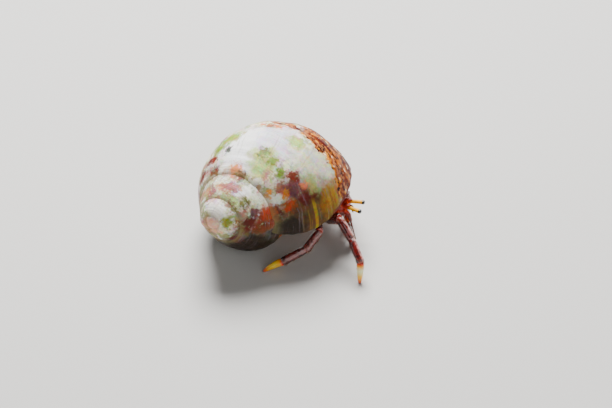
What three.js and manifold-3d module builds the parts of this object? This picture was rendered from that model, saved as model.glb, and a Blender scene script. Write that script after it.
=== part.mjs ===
// A hermit crab walking in a turban shell, life size and still.
// Millimetres, +Z up, the crab heads +X. The origin is on the floor, in the flat on which the shell rests.
import * as THREE from "three";
import { mergeVertices } from "three/addons/utils/BufferGeometryUtils.js";
import Module from "manifold-3d";

const wasm = await Module();
wasm.setup();

const TURN = 2 * Math.PI;
const { degToRad, lerp } = THREE.MathUtils;

// ---- Driving dimensions: the shell ----
// An ellipse is carried along a spiral that grows by one ratio each turn.
// "Tubes" are lengths counted in TUBE_WIDTH, and a phase is an angle of growth, 0 at the lip.
const TUBE_WIDTH = 7.45; // half width of the tube at the lip
const TUBE_HEIGHT = 1.44; // its half height, tubes
const TUBE_LEAN = -0.1; // radians by which the ellipse leans
const AXIS_GAP = 0.96; // from the coiling axis to the tube's middle, tubes
const SPIRE = 2.92; // from the apex down to the tube's middle, tubes
const TURN_RATIO = 1.84; // size of one turn over the turn before
const TURNS = 2.7;
const APEX_DOME = 0.18; // turns over which the first whorl opens
const APEX_KNOB = { radius: 1.9, depth: 4.1 }; // the worn, round tip on the coiling axis
const LIP_SLANT = 0.4; // radians of growth by which the lip's upper end runs ahead of its lower end
const BORE = { width: 0.82, height: 1.12, out: 0.1, down: 0.12 }; // the hollow of the tube, tubes
const MOUTH = { width: 0.92, height: 1.3, out: 0.01, down: 0.02 }; // the hollow at the thin lip, tubes
const BORE_TURNS = 0.8; // depth of the hollow, turns
const FLARE = 0.18; // share of the hollow's length over which it opens out to the mouth
const APEX_HEADING = 244; // degrees from +X, where the apex points
const APEX_RISE = 16; // degrees above level
const MOUTH_PITCH = 13.9; // degrees by which the mouth turns forward from facing down
const REST_CUT = 0.12; // mm ground off the lowest point, so the shell rests on a flat

// ---- Driving dimensions: the crab ----
const GAP = 0.06; // between one piece and the next
const MIDLINE = 3.1; // the crab's middle plane, Y
const HEAD_X = 18.1; // front of the shield
const SHIELD_LENGTH = 5.2;
const BODY_LENGTH = 7; // shield and rear carapace
const BODY_WIDTH = 4.8;
const BODY_HEIGHT = 4;
const BODY_Z = 6.8; // height of the body's middle
const HIP_Z = 5; // height of the hips
const STALK_LENGTH = 2.5;
const STALK_THICK = 0.64;
const CORNEA_LENGTH = 0.6;
const CORNEA_THICK = 0.76;
const FEELER_THICK = 0.5;
const TOE_THICK = 0.55;
const LEG_LENGTHS = { merus: 5.3, carpus: 3.9, propodus: 4.7, dactyl: 4.1 };
const LEG_WIDTH = 1.4; // front to back
const LEG_HEIGHTS = { merus: 2, carpus: 1.85, propodus: 1.7, dactyl: 1.35 };
// The left claw is the bigger one. Its lengths are those of arm, wrist, palm and finger.
const CLAWS = {
  left: { lengths: [2.5, 1.8, 2.5, 2.3], height: 2.6, thick: 1.5 },
  right: { lengths: [2, 1.3, 1.9, 1.6], height: 1.7, thick: 1.15 },
};
const EYE_Z = 7.95;
// Routes of the small limbs: X, distance from the middle plane, Z.
const ANTENNULE = [[18, 0.3, 7.3], [18.6, 0.35, 7.2], [18.9, 0.4, 6.5]];
const ANTENNA_RIGHT = [[17.8, 1.3, 7], [18.7, 1.6, 6.5], [19.3, 1.8, 4.4], [20.1, 1.8, 0.9]];
const ANTENNA_LEFT = [[17.6, 1.4, 7], [17.9, 2.3, 6.9], [17.6, 5, 6.1], [17, 6.6, 4.2], [16.6, 7.3, 2]];
const MAXILLIPED = [[17.4, 0.42, 5.3], [18, 0.45, 4.9], [18, 0.45, 3.7]];
const LEG_4 = [[12.4, 1.5, 6.5], [11, 2.9, 6.4], [10, 3, 7.6]];
const LEG_5 = [[12.3, 1.5, 7.6], [11.3, 2.7, 8.3], [10.4, 2.9, 9.3]];
const ABDOMEN_THICK = 4.2;
const ABDOMEN_TURNS = 0.6; // depth in the shell, turns
const ABDOMEN_ACROSS = -0.2; // off the tube's middle toward the axis, tubes
const ABDOMEN_ALONG = 0.15; // off the tube's middle toward the base, tubes
const COLOURS = {
  shell: 0xcfc6a8,
  shield: 0x8a2a18,
  soft: 0xc9774f,
  leg: 0x6e1d18,
  claw: 0x8c2318,
  toe: 0xf2b52a,
  stalk: 0xe9c02f,
  cornea: 0x0b0b0d,
  feeler: 0xa8321a,
};

// Each limb: where its hip is along the body, and the heading and slope of its segments in degrees.
// The last slope of a leg isn't given, because the toe comes down to the floor.
const LEGS = {
  leg_2_right: { hipX: 14.4, bends: [[-44, 40], [-37, -37], [-53, -27], [-83]] },
  leg_3_right: { hipX: 12.4, bends: [[-70, 17], [-131, -44], [-147, -20], [-163]] },
  leg_2_left: { hipX: 14.4, bends: [[102, 34], [101, -28], [107, -36], [102]] },
  leg_3_left: { hipX: 12.4, bends: [[101, 16], [126, -30], [142, -24], [150]] },
};
const CLAW_BENDS = {
  left: [[95, 32], [0, -60], [-140, -82], [-60, -82]],
  right: [[-20, 0], [40, -60], [60, -78], [45, -80]],
};

const at = (x, y, z) => new THREE.Vector3(x, y, z);

// ---- Solids ----

// Skin over a row of rings, closed by a fan at each end.
function loft(rings, firstTip, lastTip) {
  const count = rings[0].length;
  const points = [...rings.flat(), firstTip, lastTip];
  const tips = points.length - 2;
  const faces = [];
  for (let i = 0; i + 1 < rings.length; i++) {
    for (let j = 0; j < count; j++) {
      const a = i * count + j;
      const b = i * count + ((j + 1) % count);
      faces.push(a, b, a + count, b, b + count, a + count);
    }
  }
  const last = (rings.length - 1) * count;
  for (let j = 0; j < count; j++) {
    const k = (j + 1) % count;
    faces.push(tips, k, j, tips + 1, last + j, last + k);
  }
  return new THREE.BufferGeometry().setFromPoints(points).setIndex(faces);
}

const middleOf = (ring) => ring.reduce((sum, p) => sum.add(p), at(0, 0, 0)).divideScalar(ring.length);

// A rounded body along a path: at each step an ellipse with the half sizes that size(s) gives.
function pod(path, side, size, steps = 7, sides = 8) {
  const rings = [];
  for (let i = 1; i < steps; i++) {
    const s = (1 - Math.cos((Math.PI * i) / steps)) / 2;
    const [halfWidth, halfHeight] = size(s);
    const along = path.getTangent(s);
    const wide = side.clone().addScaledVector(along, -side.dot(along)).normalize();
    const high = along.clone().cross(wide);
    const middle = path.getPoint(s);
    const ring = [];
    for (let j = 0; j < sides; j++) {
      const angle = (TURN * (j + 0.5)) / sides;
      const point = middle.clone().addScaledVector(wide, halfWidth * Math.cos(angle));
      ring.push(point.addScaledVector(high, halfHeight * Math.sin(angle)));
    }
    rings.push(ring);
  }
  return loft(rings, path.getPoint(0), path.getPoint(1));
}

// Half sizes of a barrel with round ends; taper is how much the far end gains on the near end.
function barrel(width, height, taper = 0, blunt = 4) {
  return (s) => {
    const round = (1 - Math.abs(2 * s - 1) ** blunt) ** (1 / blunt);
    const swell = (round * (1 + taper * (s - 0.5))) / 2;
    return [width * swell, height * swell];
  };
}

// Half sizes of a claw that thins from its base to its tip.
function claw(width, height, tip) {
  return (s) => {
    const round = (1 - Math.abs(2 * s - 1) ** 6) ** (1 / 6);
    return [(lerp(width, tip, s) * round) / 2, (lerp(height, tip, s) * round) / 2];
  };
}

function toSolid(geometry) {
  const bare = geometry.clone();
  bare.deleteAttribute("normal");
  bare.deleteAttribute("uv");
  const merged = mergeVertices(bare, 1e-5);
  const vertProperties = merged.attributes.position.array;
  const triVerts = new Uint32Array(merged.index.array);
  return new wasm.Manifold(new wasm.Mesh({ numProp: 3, vertProperties, triVerts }));
}

function toGeometry(solid) {
  const { numVert, numProp, vertProperties, triVerts } = solid.getMesh();
  const positions = new Float32Array(numVert * 3);
  for (let i = 0; i < numVert; i++) {
    positions.set(vertProperties.subarray(i * numProp, i * numProp + 3), i * 3);
  }
  const geometry = new THREE.BufferGeometry();
  geometry.setAttribute("position", new THREE.BufferAttribute(positions, 3));
  return geometry.setIndex(new THREE.BufferAttribute(triVerts, 1));
}

const box = (low, high) => {
  const size = high.clone().sub(low);
  return new THREE.BoxGeometry(size.x, size.y, size.z).translate(...low.clone().addScaledVector(size, 0.5));
};
const floor = toSolid(box(at(-60, -60, -20), at(60, 60, 0)));
const cutAtFloor = (geometry) => toGeometry(toSolid(geometry).subtract(floor));
const joined = (...pieces) => toGeometry(pieces.map(toSolid).reduce((sum, piece) => sum.add(piece)));

const root = new THREE.Group();
const crab = new THREE.Group();
root.add(crab);

// A mesh whose own origin is its pivot: a joint, or the point where it meets the body.
function addPart(group, name, geometry, pivot, color, roughness = 0.45) {
  const material = new THREE.MeshStandardMaterial({ color, roughness, metalness: 0 });
  const mesh = new THREE.Mesh(geometry.translate(-pivot.x, -pivot.y, -pivot.z), material);
  mesh.name = name;
  mesh.position.copy(pivot);
  group.add(mesh);
}

// ---- Shell ----

// A point of the shell in its own axes: Z up to the apex, X through the middle of the mouth.
function shellPoint(phase, across, along) {
  const scale = TUBE_WIDTH * TURN_RATIO ** (phase / TURN);
  const radius = AXIS_GAP + across * Math.cos(TUBE_LEAN) - along * Math.sin(TUBE_LEAN);
  const height = -(SPIRE + across * Math.sin(TUBE_LEAN) + along * Math.cos(TUBE_LEAN));
  const clear = Math.max(radius, 0.02);
  return at(clear * Math.cos(phase), -clear * Math.sin(phase), height).multiplyScalar(scale);
}

// Tube between two phases; section(share, angle) gives a point across and along it, and the far end
// leans by slant radians of growth.
function tube(firstPhase, lastPhase, steps, sides, section, slant = 0) {
  const rings = [];
  for (let i = 0; i <= steps; i++) {
    const share = i / steps;
    const ring = [];
    for (let j = 0; j < sides; j++) {
      const angle = (-TURN * j) / sides;
      const end = lastPhase - slant * Math.sin(angle + TUBE_LEAN);
      const [across, along] = section(share, angle);
      ring.push(shellPoint(lerp(firstPhase, end, share), across, along));
    }
    rings.push(ring);
  }
  return toSolid(loft(rings, middleOf(rings[0]), middleOf(rings.at(-1))));
}

const SHELL_SIDES = 20;
const fullSection = (share, angle) => [Math.cos(angle), TUBE_HEIGHT * Math.sin(angle)];

// The first whorl opens from a blunt dome.
function apexSection(share, angle) {
  const dome = Math.max(0, 1 - (share * (TURNS - 2)) / APEX_DOME);
  const fat = Math.sqrt(1 - Math.min(dome, 0.995) ** 2);
  return [fat * Math.cos(angle), fat * TUBE_HEIGHT * Math.sin(angle)];
}

// The hollow narrows at its inner end and widens to a thin edge just before the lip.
function boreSection(share, angle) {
  const flare = Math.max(0, (share - 1 + FLARE) / FLARE) ** 2;
  const fade = Math.min(1, 0.75 + share);
  const mix = (key) => lerp(BORE[key], MOUTH[key], flare);
  return [
    mix("out") + fade * mix("width") * Math.cos(angle),
    mix("down") + fade * mix("height") * Math.sin(angle),
  ];
}

function shellPose() {
  const rise = degToRad(APEX_RISE);
  const heading = degToRad(APEX_HEADING);
  const pitch = degToRad(MOUTH_PITCH);
  const apex = at(Math.cos(rise) * Math.cos(heading), Math.cos(rise) * Math.sin(heading), Math.sin(rise));
  const down = at(0, 0, -1);
  const steepest = down.addScaledVector(apex, -down.dot(apex)).normalize();
  const level = apex.clone().cross(steepest);
  const growth = steepest.multiplyScalar(Math.cos(pitch)).addScaledVector(level, Math.sin(pitch));
  const outward = apex.clone().cross(growth);
  return new THREE.Matrix4().makeBasis(outward, growth.negate(), apex);
}

const pose = shellPose();

function makeShell() {
  const whorls = [
    tube(-TURNS * TURN, -2 * TURN, 11, SHELL_SIDES, apexSection),
    tube(-2 * TURN, -1.3 * TURN, 11, SHELL_SIDES, fullSection),
    tube(-1.3 * TURN, -0.6 * TURN, 12, SHELL_SIDES, fullSection),
    tube(-0.6 * TURN, 0, 12, SHELL_SIDES, fullSection, LIP_SLANT),
  ];
  const earlier = tube(-1.85 * TURN, -0.86 * TURN, 22, 18, fullSection);
  const bore = tube(-BORE_TURNS * TURN, 0.15, 20, 20, boreSection, LIP_SLANT).subtract(earlier);
  const knob = new THREE.SphereGeometry(APEX_KNOB.radius, 14, 10).translate(0, 0, -APEX_KNOB.depth);
  const whole = whorls.reduce((sum, whorl) => sum.add(whorl), toSolid(knob));
  const hollow = whole.subtract(bore);
  const largest = hollow.decompose().sort((a, b) => b.volume() - a.volume())[0];
  return toGeometry(largest).applyMatrix4(pose);
}

// The lowest point of the last whorl.
function restPoint() {
  const lowest = at(0, 0, Infinity);
  for (let phase = -TURN; phase < 0; phase += 0.02) {
    for (let angle = 0; angle < TURN; angle += 0.02) {
      const point = shellPoint(phase, ...fullSection(0, angle)).applyMatrix4(pose);
      if (point.z < lowest.z) lowest.copy(point);
    }
  }
  return lowest;
}

const shell = makeShell();
shell.computeBoundingBox();
const rest = restPoint().setZ(shell.boundingBox.min.z + REST_CUT);
shell.translate(-rest.x, -rest.y, -rest.z);
addPart(root, "shell", cutAtFloor(shell), at(0, 0, 0), COLOURS.shell, 0.6);

// A point inside the shell as it lies.
function inShell(phase, across, along) {
  return shellPoint(phase, across, along).applyMatrix4(pose).sub(rest);
}

// ---- Joints ----

const direction = (heading, slope) =>
  at(Math.cos(slope) * Math.cos(heading), Math.cos(slope) * Math.sin(heading), Math.sin(slope));

// Everything on the far side of a plane, and half a gap on its near side.
function beyond(point, normal) {
  const block = box(at(-30, -30, -GAP / 2), at(30, 30, 60));
  block.applyQuaternion(new THREE.Quaternion().setFromUnitVectors(at(0, 0, 1), normal));
  return toSolid(block.translate(point.x, point.y, point.z));
}

// Path between two points, run on past them by over and bowed upwards by bow.
function between(from, to, over, bow) {
  const along = to.clone().sub(from).normalize();
  const start = from.clone().addScaledVector(along, -over);
  const end = to.clone().addScaledVector(along, over);
  const middle = start.clone().lerp(end, 0.5);
  return new THREE.QuadraticBezierCurve3(start, middle.add(at(0, 0, 2 * bow)), end);
}

// Solids of a jointed limb. Each segment runs a little past its joints and is cut there on the
// plane that halves the bend, so the limb is whole but for thin cuts.
function jointed(joints, shapes, side) {
  const ways = shapes.map((shape, i) => joints[i + 1].clone().sub(joints[i]).normalize());
  const halving = (i) => ways[i - 1].clone().add(ways[i]).normalize();
  return shapes.map(({ size, bow = 0, over = 0.4, steps = 6, sides = 8 }, i) => {
    const path = between(joints[i], joints[i + 1], over, bow);
    let piece = toSolid(pod(path, side, size, steps, sides));
    if (i > 0) piece = piece.subtract(beyond(joints[i], halving(i).negate()));
    if (i + 1 < shapes.length) piece = piece.subtract(beyond(joints[i + 1], halving(i + 1)));
    return piece;
  });
}

// Joints of a limb from its hip. Where no slope is given, the segment comes down to the floor.
function chain(first, lengths, bends) {
  const joints = [first];
  lengths.forEach((length, i) => {
    const [heading, slope] = bends[i].map(degToRad);
    const from = joints.at(-1);
    const toFloor = Math.asin((TOE_THICK * 0.1 - from.z) / length);
    joints.push(from.clone().addScaledVector(direction(heading, slope ?? toFloor), length));
  });
  return joints;
}

// ---- Body ----

const onBody = (x, y, z) => at(x, MIDLINE + y, z);
const REAR_X = HEAD_X - BODY_LENGTH;
const SEAM_X = HEAD_X - SHIELD_LENGTH;
const WAIST_Z = BODY_Z + 0.5;

// The trunk in one piece, larger all round by grow.
function trunk(grow = 0) {
  const rear = onBody(REAR_X - grow, 0, BODY_Z + 0.3);
  const middle = onBody(REAR_X + 3, 0, BODY_Z + 0.1);
  const head = onBody(HEAD_X + grow, 0, BODY_Z + 0.2);
  const spine = new THREE.QuadraticBezierCurve3(rear, middle, head);
  const size = barrel(BODY_WIDTH + 2 * grow, BODY_HEIGHT + 2 * grow, -0.12, 3);
  return toSolid(pod(spine, at(0, -1, 0), size, 10, 14));
}

// The abdomen runs from the trunk into the shell and follows its spiral on the inner side.
function makeAbdomenPath() {
  const points = [onBody(REAR_X + 0.8, 0, BODY_Z + 0.3), onBody(REAR_X - 1.1, 0, BODY_Z + 1.2)];
  const steps = 7;
  for (let i = 0; i <= steps; i++) {
    const phase = -TURN * lerp(0.03, ABDOMEN_TURNS, i / steps);
    points.push(inShell(phase, ABDOMEN_ACROSS, ABDOMEN_ALONG));
  }
  return new THREE.CatmullRomCurve3(points);
}

const abdomenPath = makeAbdomenPath();

function abdomen(grow = 0) {
  const thick = barrel(ABDOMEN_THICK, ABDOMEN_THICK, 0, 8);
  const size = (s) => thick(s).map((half) => half * lerp(1, 0.42, s ** 1.5) + grow);
  return toSolid(pod(abdomenPath, at(0, 1, 0), size, 20, 12));
}

const trunkAndGap = trunk(GAP);
const bodyAndGap = trunkAndGap.add(abdomen(GAP));
const clearOfBody = (geometry) => toGeometry(toSolid(geometry).subtract(bodyAndGap));

// The trunk's three plates: the shield and the rear carapace above, the thorax with the limbs' first
// segments below.
function addBody() {
  const whole = trunk();
  const block = (x0, x1, z0, z1) => toSolid(box(onBody(x0, -BODY_WIDTH, z0), onBody(x1, BODY_WIDTH, z1)));
  const shieldBlock = block(SEAM_X, HEAD_X + 2, WAIST_Z, 20);
  const beak = new THREE.ConeGeometry(0.45, 1, 6).scale(1, 1, 0.6).rotateZ(-TURN / 4);
  beak.translate(HEAD_X - 0.15, MIDLINE, WAIST_Z + 0.4);
  const shield = whole.add(toSolid(beak)).intersect(shieldBlock);
  const back = whole.intersect(block(REAR_X - 2, SEAM_X - GAP, WAIST_Z, 20));
  const under = whole.intersect(block(REAR_X - 2, HEAD_X + 2, 0, WAIST_Z - GAP));
  const thorax = coxae.reduce((sum, coxa) => sum.add(coxa), under);
  addPart(crab, "carapace_shield", toGeometry(shield), onBody(HEAD_X, 0, BODY_Z), COLOURS.shield);
  addPart(crab, "carapace_rear", toGeometry(back), onBody(SEAM_X, 0, BODY_Z), COLOURS.soft);
  addPart(crab, "thorax", toGeometry(thorax), onBody(SEAM_X, 0, BODY_Z), COLOURS.soft);
}

// ---- Limbs ----

const coxae = [];
const coxaShape = { size: barrel(1, 1.1), over: 0.3, steps: 4, sides: 6 };

// The point inside the body from which a limb's first, fixed segment grows, and its hip.
function limbRoot(x, out) {
  return [onBody(x, 0.9 * out, HIP_Z + 0.8), onBody(x, 1.8 * out, HIP_Z)];
}

function addLeg(name, { hipX, bends }) {
  const [base, hip] = limbRoot(hipX, Math.sign(bends[0][0]));
  const joints = [base, ...chain(hip, Object.values(LEG_LENGTHS), bends)];
  const reach = joints.at(-1).clone().sub(base).setZ(0).normalize();
  const h = LEG_HEIGHTS;
  const shapes = {
    merus: { size: barrel(LEG_WIDTH, h.merus, 0.2), bow: 0.25 },
    carpus: { size: barrel(LEG_WIDTH, h.carpus, 0.2), bow: 0.1 },
    propodus: { size: barrel(LEG_WIDTH, h.propodus, -0.1), bow: 0.1 },
    dactyl: { size: claw(LEG_WIDTH, h.dactyl * 1.1, TOE_THICK), bow: 0.25, over: 0.2 },
  };
  const side = at(-reach.y, reach.x, 0);
  const [coxa, ...segments] = jointed(joints, [coxaShape, ...Object.values(shapes)], side);
  coxae.push(coxa);
  Object.keys(shapes).forEach((segment, i) => {
    const color = segment === "dactyl" ? COLOURS.toe : COLOURS.leg;
    const piece = segments[i].subtract(floor).subtract(trunkAndGap);
    addPart(crab, `${name}_${segment}`, toGeometry(piece), joints[i + 1], color, 0.35);
  });
}

// A claw's hand carries one fixed finger and one that moves beside it.
function addClaw(sideName, out) {
  const { height, thick, lengths } = CLAWS[sideName];
  const [base, hip] = limbRoot(16.3, out);
  const joints = [base, ...chain(hip, lengths, CLAW_BENDS[sideName])];
  const shapes = [
    coxaShape,
    { size: barrel(thick * 0.75, height * 0.62, 0.3) },
    { size: barrel(thick * 0.9, height * 0.75, 0.2) },
    { size: barrel(thick, height, 0, 3), over: 0.3 },
  ];
  const side = at(1, 0, 0.3).normalize();
  const [coxa, armPiece, wristPiece, palmPiece] = jointed(joints.slice(0, 5), shapes, side);
  const [, , , knuckle, gapeEnd, tip] = joints;
  coxae.push(coxa);
  const along = tip.clone().sub(gapeEnd).normalize();
  const across = along.clone().cross(side).normalize().multiplyScalar(out);
  const fingerSize = claw(thick * 0.7, height * 0.46, TOE_THICK * 0.9);
  const finger = (offset) => {
    const from = gapeEnd.clone().addScaledVector(across, offset * height * 0.27);
    const to = tip.clone().addScaledVector(across, offset * 0.24);
    return toSolid(pod(between(from.addScaledVector(along, -0.4), to, 0, 0), side, fingerSize, 7, 8));
  };
  const hand = palmPiece.add(finger(-1)).subtract(floor);
  const moving = finger(1).subtract(palmPiece).subtract(floor);
  const name = `cheliped_${sideName}`;
  addPart(crab, `${name}_arm`, toGeometry(armPiece), hip, COLOURS.claw, 0.35);
  addPart(crab, `${name}_wrist`, toGeometry(wristPiece), joints[2], COLOURS.claw, 0.35);
  addPart(crab, `${name}_palm`, toGeometry(hand), knuckle, COLOURS.claw, 0.35);
  addPart(crab, `${name}_finger`, toGeometry(moving), gapeEnd, COLOURS.toe, 0.35);
}

// A single bent piece such as a feeler or a small hind leg, grown from the trunk.
function addBent(name, points, size, color, steps = 8, sides = 6) {
  const path = new THREE.CatmullRomCurve3(points);
  const chord = points.at(-1).clone().sub(points[0]);
  const side = chord.cross(at(0, 0, 1)).normalize();
  addPart(crab, name, clearOfBody(pod(path, side, size, steps, sides)), points[0], color, 0.4);
}

// The eyestalk ends in a cornea, cut from it by a thin gap.
function addEye(sideName, out, heading) {
  const base = onBody(HEAD_X - 0.35, 0.72 * out, EYE_Z);
  const way = direction(degToRad(heading), degToRad(2));
  const end = base.clone().addScaledVector(way, STALK_LENGTH);
  const tip = end.clone().addScaledVector(way, CORNEA_LENGTH);
  const up = at(0, 0, 1);
  const stalkSize = barrel(STALK_THICK, STALK_THICK, 0, 8);
  const corneaSize = barrel(CORNEA_THICK, CORNEA_THICK, 0, 2.5);
  const stalk = toSolid(pod(between(base, end, 0.2, 0), up, stalkSize, 6, 8));
  const cornea = toSolid(pod(between(end, tip, 0.08, 0), up, corneaSize, 7, 8));
  const shortStalk = stalk.subtract(trunkAndGap).subtract(beyond(end, way));
  const shortCornea = cornea.subtract(beyond(end, way.clone().negate()));
  addPart(crab, `eyestalk_${sideName}`, toGeometry(shortStalk), base, COLOURS.stalk, 0.3);
  addPart(crab, `cornea_${sideName}`, toGeometry(shortCornea), end, COLOURS.cornea, 0.1);
}

// Feelers, mouth legs and the small hind legs of one side.
function addSmallLimbs(sideName, out) {
  const point = ([x, y, z]) => onBody(x, y * out, z);
  const thin = FEELER_THICK;
  const antenna = sideName === "left" ? ANTENNA_LEFT : ANTENNA_RIGHT;
  const stem = (s) => {
    const thick = lerp(0.85, thin, Math.min(1, s * 3)) / 2;
    const round = (1 - Math.abs(2 * s - 1) ** 12) ** (1 / 12);
    return [thick * round, thick * round];
  };
  addBent(`antenna_${sideName}`, antenna.map(point), stem, COLOURS.feeler, 12);
  addBent(`antennule_${sideName}`, ANTENNULE.map(point), barrel(thin, thin, 0, 8), COLOURS.feeler);
  addBent(`maxilliped_${sideName}`, MAXILLIPED.map(point), barrel(0.75, 0.8, -0.3, 5), COLOURS.feeler);
  addBent(`leg_4_${sideName}`, LEG_4.map(point), barrel(0.7, 0.95, 0.1, 6), COLOURS.soft, 9);
  addBent(`leg_5_${sideName}`, LEG_5.map(point), barrel(0.55, 0.6, 0.1, 8), COLOURS.soft);
}

// ---- Abdomen ----

// The abdomen's two lengths and its tail fan, parted by thin cuts.
function addAbdomen() {
  const whole = abdomen().subtract(trunkAndGap);
  const cuts = [0.5, 0.94].map((s) => ({ point: abdomenPath.getPoint(s), way: abdomenPath.getTangent(s) }));
  const after = ({ point, way }) => beyond(point, way);
  const before = ({ point, way }) => beyond(point, way.clone().negate());
  const front = whole.subtract(after(cuts[0]));
  const rear = whole.subtract(before(cuts[0])).subtract(after(cuts[1]));
  addPart(crab, "abdomen_front", toGeometry(front), abdomenPath.getPoint(0), COLOURS.soft);
  addPart(crab, "abdomen_rear", toGeometry(rear), cuts[0].point, COLOURS.soft);
  const { point, way } = cuts[1];
  const up = at(0, 0, 1);
  const lobes = [-0.7, 0, 0.7].map((turn) => {
    const end = point.clone().addScaledVector(way.clone().applyAxisAngle(up, turn), 1.5);
    return pod(between(point, end, 0, 0), up, barrel(0.6, 0.9, 0.2, 3), 5, 6);
  });
  const fan = toSolid(joined(...lobes)).subtract(before(cuts[1]));
  addPart(crab, "tail_fan", toGeometry(fan), point, COLOURS.soft);
}

for (const [name, leg] of Object.entries(LEGS)) addLeg(name, leg);
addClaw("left", 1);
addClaw("right", -1);
addBody();
addEye("left", 1, 3);
addEye("right", -1, -17);
addSmallLimbs("left", 1);
addSmallLimbs("right", -1);
addAbdomen();

export default root;
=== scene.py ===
from math import cos, degrees, pi, radians, sin, tau

import bpy
import numpy as np
from bpy.props import FloatProperty, FloatVectorProperty, PointerProperty
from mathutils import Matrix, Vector


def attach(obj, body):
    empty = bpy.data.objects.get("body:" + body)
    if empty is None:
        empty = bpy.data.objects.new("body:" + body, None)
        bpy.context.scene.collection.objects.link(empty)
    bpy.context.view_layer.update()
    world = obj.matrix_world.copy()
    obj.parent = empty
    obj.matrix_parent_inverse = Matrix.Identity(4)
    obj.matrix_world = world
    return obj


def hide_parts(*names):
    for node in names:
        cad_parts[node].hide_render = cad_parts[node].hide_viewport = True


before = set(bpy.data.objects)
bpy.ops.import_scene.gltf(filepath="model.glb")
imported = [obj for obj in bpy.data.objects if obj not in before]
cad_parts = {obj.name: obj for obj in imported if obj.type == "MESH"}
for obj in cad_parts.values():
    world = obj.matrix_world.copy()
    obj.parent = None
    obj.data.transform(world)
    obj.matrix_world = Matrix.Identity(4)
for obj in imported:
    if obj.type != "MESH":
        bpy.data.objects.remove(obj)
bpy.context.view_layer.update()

bl_info = {
    "name": "Hermit crab in a turban shell",
    "version": (1, 0, 0),
    "blender": (4, 5, 0),
    "location": "3D View > Sidebar > Hermit Crab",
    "description": "Builds the shell, plates, limbs, eyes and bristles of a shore hermit crab",
    "category": "Add Mesh",
}

MM = 0.001  # sizes below are in millimetres, and a mesh gets metres

# ---- Sizes of the shell: an ellipse carried along a growing spiral ----
TUBE_WIDTH = 7.45  # half width of the tube at the lip
TUBE_HEIGHT = 1.44  # its half height, in tube widths
TUBE_LEAN = -0.1  # radians
SECTION_SIDES = 168  # corners round one section
AXIS_GAP = 0.96  # from the coiling axis to the tube's middle, in tube widths
SPIRE = 2.92  # from the apex down to the tube's middle, in tube widths
TURN_RATIO = 1.84  # growth of one turn
FIRST_TURN = -2.7  # turns back from the lip
SLANT_TURN = -0.6  # from here on the growth edge slants
LIP_SLANT = 0.4  # radians by which the lip's upper end runs ahead
# Half sizes and shifts of the hollow, in tube widths: far in, and at the lip.
BORE = {"width": 0.82, "height": 1.12, "out": 0.1, "down": 0.12}
MOUTH = {"width": 0.93, "height": 1.33, "out": 0.01, "down": 0.02}
BORE_TURNS = 0.8
KNOB_RADIUS = 1.9  # the worn tip on the coiling axis
KNOB_DEPTH = 4.1  # from the apex down to its middle
APEX_HEADING = 244  # degrees
APEX_RISE = 16
MOUTH_PITCH = radians(13.9)
SHELL_REST = np.array([4.9885, 13.3203, -13.3178])  # the resting point, in the unmoved shell

# The flat pattern on the shell, in mm: round the section, and back along the growth.
ROUND_LENGTH = 58.0
GROWTH_LENGTH = 150.5
# The fresh band on the shell: mm round the section where it starts at the lip, what each mm of
# growth adds to that, and its full breadth.
BAND_START = 29.6
BAND_RISE = 0.13
BAND_LEVEL = 9.0  # growth past which it rises no more
BAND_FULL = 10.0
STREAK_PLACE = 24.6  # mm round the section, of a yellow streak in the film by the lip
WORN_PLACE = (5.0, 140.0)  # on the flat pattern, well away from the band
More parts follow.
